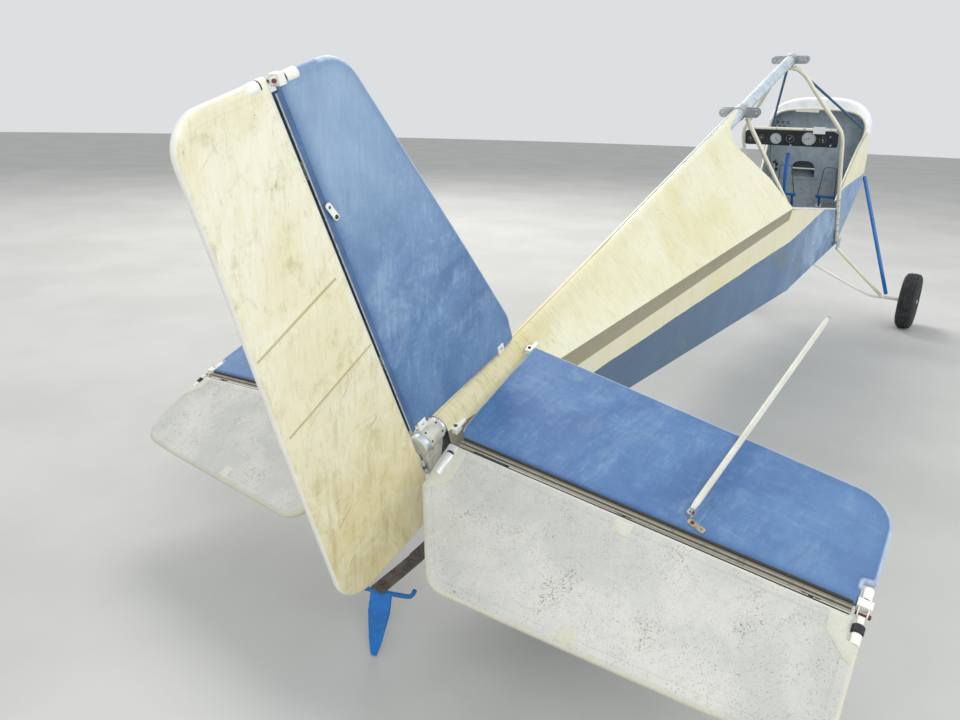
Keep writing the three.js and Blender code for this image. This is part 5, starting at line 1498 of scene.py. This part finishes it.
turned("lever_foot", [(0, -40), (9, -40), (12, -36), (12, 3), (0, 3)], (4262, 262, -1190), Y, "fitting")
# Bent wire of a pedal, as (y, z)
PEDAL = ((88, -1222), (100, -1130), (114, -1016), (119, -999), (136, -992), (190, -992), (204, -999),
         (206, -1016), (208, -1130), (208, -1222))
for tag, s in SIDES:
    bar = tube(f"pedal_bar_{tag}", [(4500, s * y, -1228) for y in (72, 75, 221, 224)], (8, 9.5, 9.5, 8),
               "blue_paint", sides=24)
    if tag == "l":
        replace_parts(bar, "rudder_pedals")
    tube(f"pedal_wire_{tag}", [(4500, s * y, z) for y, z in PEDAL], 3.4, "wire_dark", sides=14)
    tube(f"pedal_foot_{tag}", [(4500, s * 100, -1230), (4520, s * 100, -1331)], 9, "blue_paint", sides=18)
    for k, y in enumerate((88, 208)):
        collar(f"pedal_collar_{tag}_{k}", (4500, s * y, -1228), Y, 10, 14, 14, "blue_paint")
    tube(f"sill_hem_{tag}", [(2868, s * 299, -556), (2872, s * 299, -558), (4106, s * 299, -1131),
                             (4110, s * 299, -1133)], (4, 6.2, 6.2, 4), "sill_tube", sides=16)
    for k, z in enumerate((-1040, -1092, -1150, -1206, -1262, -1318, -1374, -1424)):
        w = (z + 1000) / -444
        x, y = 4060 + 127 * w, 318 - 2 * w
        lean = Vector((127, -2 * s, -444)).normalized()
        collar(f"hoop_tie_{tag}_{k}", (x, s * y, z), lean, 12.6, 15.0, 6 + 2 * (k % 2), "tie_cord")
        turned(f"hoop_knot_{tag}_{k}", [(0, -4.5), (3.8, -3.4), (5.2, 0), (4.0, 3.6), (0, 4.6)],
               (x - 5, s * (y + 13.5), z + 2), (0.4, s * 0.5, 1), "tie_cord", sides=12)
        end = [(x - 5, s * (y + 14), z), (x - 9, s * (y + 17), z - 12),
               (x - 4 + 5 * (k % 3), s * (y + 15), z - 30)]
        tube(f"hoop_tail_{tag}_{k}", spline(end, 10), 1.5, "tie_cord", sides=8)
block("floor_fitting", (4540, -100, -1318), (62, 46, 24), ((0.96, 0, -0.27), Y, (0.27, 0, 0.96)),
      "white_paint")
for k, x in enumerate((-20, 14)):
    bolt(f"floor_bolt_{k}", (4540 + x, -100, -1305 - x * 0.28), (0.27, 0, 0.96), 5.5)
for name, x in (("rear", 2812), ("front", 3765)):
    for tag, s in SIDES:
        for word, way in (("aft", -1), ("fore", 1)):
            bolt(f"{name}_fork_bolt_{word}_{tag}", (x + way * 15.6, s * 90, 0), X * way, 8)

# Wheels, springs and skid

AXLE = Vector((4475, 0, -2023))
WALL = [(102, -38), (105, -43), (118, -48), (121, -49.5), (124, -49), (140, -57), (150, -59.5),
        (158, -60.8), (172, -61), (181, -59.4), (192, -55), (199, -50)]
# Ribs of the tread, from and to, as parts of half its width
RIBS = ((-0.76, -0.52), (-0.44, -0.20), (-0.12, 0.12), (0.20, 0.44), (0.52, 0.76))
for tag, s in SIDES:
    centre = AXLE + Y * (s * 836)
    wheel = f"wheel_{tag}"
    crown = []
    for low, high in RIBS:
        for at, sink in ((low, 4.5), (low + 0.015, 0), ((low + high) / 2, 0), (high - 0.015, 0), (high, 4.5)):
            crown.append((215 - 17 * abs(at) ** 2.6 - sink, at * 61))
    profile = WALL + crown + [(r, -a) for r, a in reversed(WALL)]
    tyre = ring(f"tyre_tread_{tag}", profile, centre, Y, "tyre", wheel, 120, 50)
    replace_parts(tyre, f"tyre_{tag}")
    for k in range(6):
        spoke = Vector((math.cos(k * 1.0472), 0, math.sin(k * 1.0472)))
        bolt(f"wheel_bolt_{tag}_{k}", centre + spoke * 60 + Y * (s * 26.0), Y * s, 6.5, "rust", wheel)
    collar(f"rim_bead_{tag}", centre + Y * (s * 37), Y, 96, 104.5, 6, "hub", wheel, 72)
    tube(f"tyre_valve_{tag}", [centre + Vector((78, s * 30, 42)), centre + Vector((70, s * 52, 38))], 3.4,
         "black_rubber", wheel, 12)
    turned(f"hub_cap_{tag}", [(0, 50), (17, 50), (17, 55), (12, 59), (0, 60)], centre, Y * s, "fitting",
           wheel)
    bolt(f"leg_bolt_{tag}", (4803, s * 356, -1190), (0.1, s, 0.1), 8)
    bolt(f"lug_bolt_{tag}", (4205, s * 334, -1474), Y * s, 8)
rows = []
for x, _, z in spline([(60, 0, -379.0), (-40, 0, -371.5), (-130, 0, -360.5), (-196, 0, -346.5)], 40):
    half = 20.5 * math.sqrt(max(1 - max((-178 - x) / 20, 0) ** 2, 0.02))
    rows.append([(x, y, z + 6.4) for y in np.linspace(-half, half, 12)])
shell("spring_leaf", rows, (0, 0, -1), "old_spring", 6.0)
for k, (x, lift) in enumerate(((-118, 6.6), (-322, 0.4))):
    drop = np.interp(-x, (80, 180, 260, 350), (-366, -350, -329, -304))
    bolt(f"leaf_bolt_{k}", (x, 0, drop + lift), (0.12, 0, 1), 7.5, "rust")
for tag, s in SIDES:
    top, foot = Vector((4808, s * 350, -1174)), Vector((4484, s * 672, -1998.5))
    down = (foot - top).normalized()
    wide = Vector((0.94, 0, -0.34))
    wide = (wide - down * wide.dot(down)).normalized()
    thin = down.cross(wide)
    places = [(0, 0.80), (0.006, 0.96), (0.012, 1), (0.5, 1), (0.988, 1), (0.994, 0.96), (1, 0.80)]
    points = [top + (foot - top) * q + (wide * (23 * c) + thin * (14 * d)) * size
              for q, size in places for c, d in circle(36)]
    last = 36 * (len(places) - 1)
    faces = hoops(range(0, last, 36), 36) + [list(range(36))[::-1], list(range(last, last + 36))]
    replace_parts(make(f"front_leg_{tag}", points, faces, "blue_paint", sharp=38), f"gear_strut_{tag}")
for k, x in enumerate((440, 372)):
    block(f"spring_clamp_{k}", (x, 0, -393), (24, 62, 16), ((1, 0, -0.04), Y, (0.04, 0, 1)), "rust")
    for j, y in enumerate((-25, 25)):
        bolt(f"spring_bolt_{k}_{j}", (x, y, -385), Z, 5.5, "rust")

# Quilted seat: sewn channels run across a padded sling

SEAT = ((3562, -1086), (3545, -1071), (3480, -1066), (3330, -1054), (3160, -1040), (3090, -1020),
        (3040, -970), (2985, -850), (2950, -735), (2925, -640))
SEAT_HALF, CHANNEL = 205, 74.0
path = np.array(spline([(x, 0, z) for x, z in SEAT], 150))
ahead = np.gradient(path, axis=0)
ahead /= np.linalg.norm(ahead, axis=1)[:, None]
up = np.stack([ahead[:, 2], np.zeros(len(path)), -ahead[:, 0]], axis=1)
gone = path_lengths(path)
across = np.concatenate([[-205, -204, -201, -196], np.linspace(-188, 188, 34), [196, 201, 204, 205]])
edge = np.minimum(SEAT_HALF - np.abs(across), 17) / 17
ends = np.minimum(np.minimum(gone, gone[-1] - gone), 15) / 15
round_edge = np.sqrt(1 - (1 - edge) ** 2)[None, :] * np.sqrt(1 - (1 - ends) ** 2)[:, None]
channel = np.abs(np.sin(math.pi * gone / CHANNEL)) ** 0.45
wrinkle = ripples(*np.meshgrid(gone, across, indexing="ij"), 201, 60, (1.0, 0.4))
crown = 8.0 * round_edge * (0.55 + 0.75 * channel[:, None]) + 0.5 * wrinkle * round_edge
sag = -7.0 * np.cos(math.pi * across / (2 * SEAT_HALF))[None, :] * np.sin(math.pi * gone / gone[-1])[:, None]
flat = path[:, None, :] + across[None, :, None] * np.array([0.0, 1.0, 0.0])
high = flat + up[:, None, :] * (sag + crown)[..., None]
low = flat + up[:, None, :] * (sag - 0.7 * crown)[..., None]
rows, cols = high.shape[:2]
points = np.concatenate([high.reshape(-1, 3), low.reshape(-1, 3)])
faces = two_faced(grid_faces(rows, cols), rows * cols)
first = points[faces[0]]
if np.cross(first[1] - first[0], first[2] - first[0]) @ up[0] < 0:
    faces = [f[::-1] for f in faces]
pad = make("seat_pad", points, faces, "seat_cloth")
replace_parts(pad, "seat")

# Floor and close


def make_floor():
    count = 96
    points = [(0.0, 0.0, 0.0)]
    for radius in (2.5, 6.0, 14.0, 40.0):
        points += [(radius * c, radius * s, 0.0) for c, s in circle(count)]
    faces = [[0, 1 + k, 1 + (k + 1) % count] for k in range(count)]
    for r in range(3):
        a = 1 + r * count
        faces += [[a + k, a + count + k, a + count + (k + 1) % count, a + (k + 1) % count]
                  for k in range(count)]
    mesh = bpy.data.meshes.new("floor")
    mesh.from_pydata(points, [], faces)
    mesh.materials.append(pale_floor())
    floor = bpy.data.objects.new("floor", mesh)
    bpy.context.scene.collection.objects.link(floor)


def make_world():
    world = bpy.data.worlds.new("studio")
    bpy.context.scene.world = world
    world.use_nodes = True
    back = world.node_tree.nodes.get("Background")
    back.inputs["Color"].default_value = (0.86, 0.88, 0.90, 1.0)
    back.inputs["Strength"].default_value = 0.84


make_floor()
make_world()
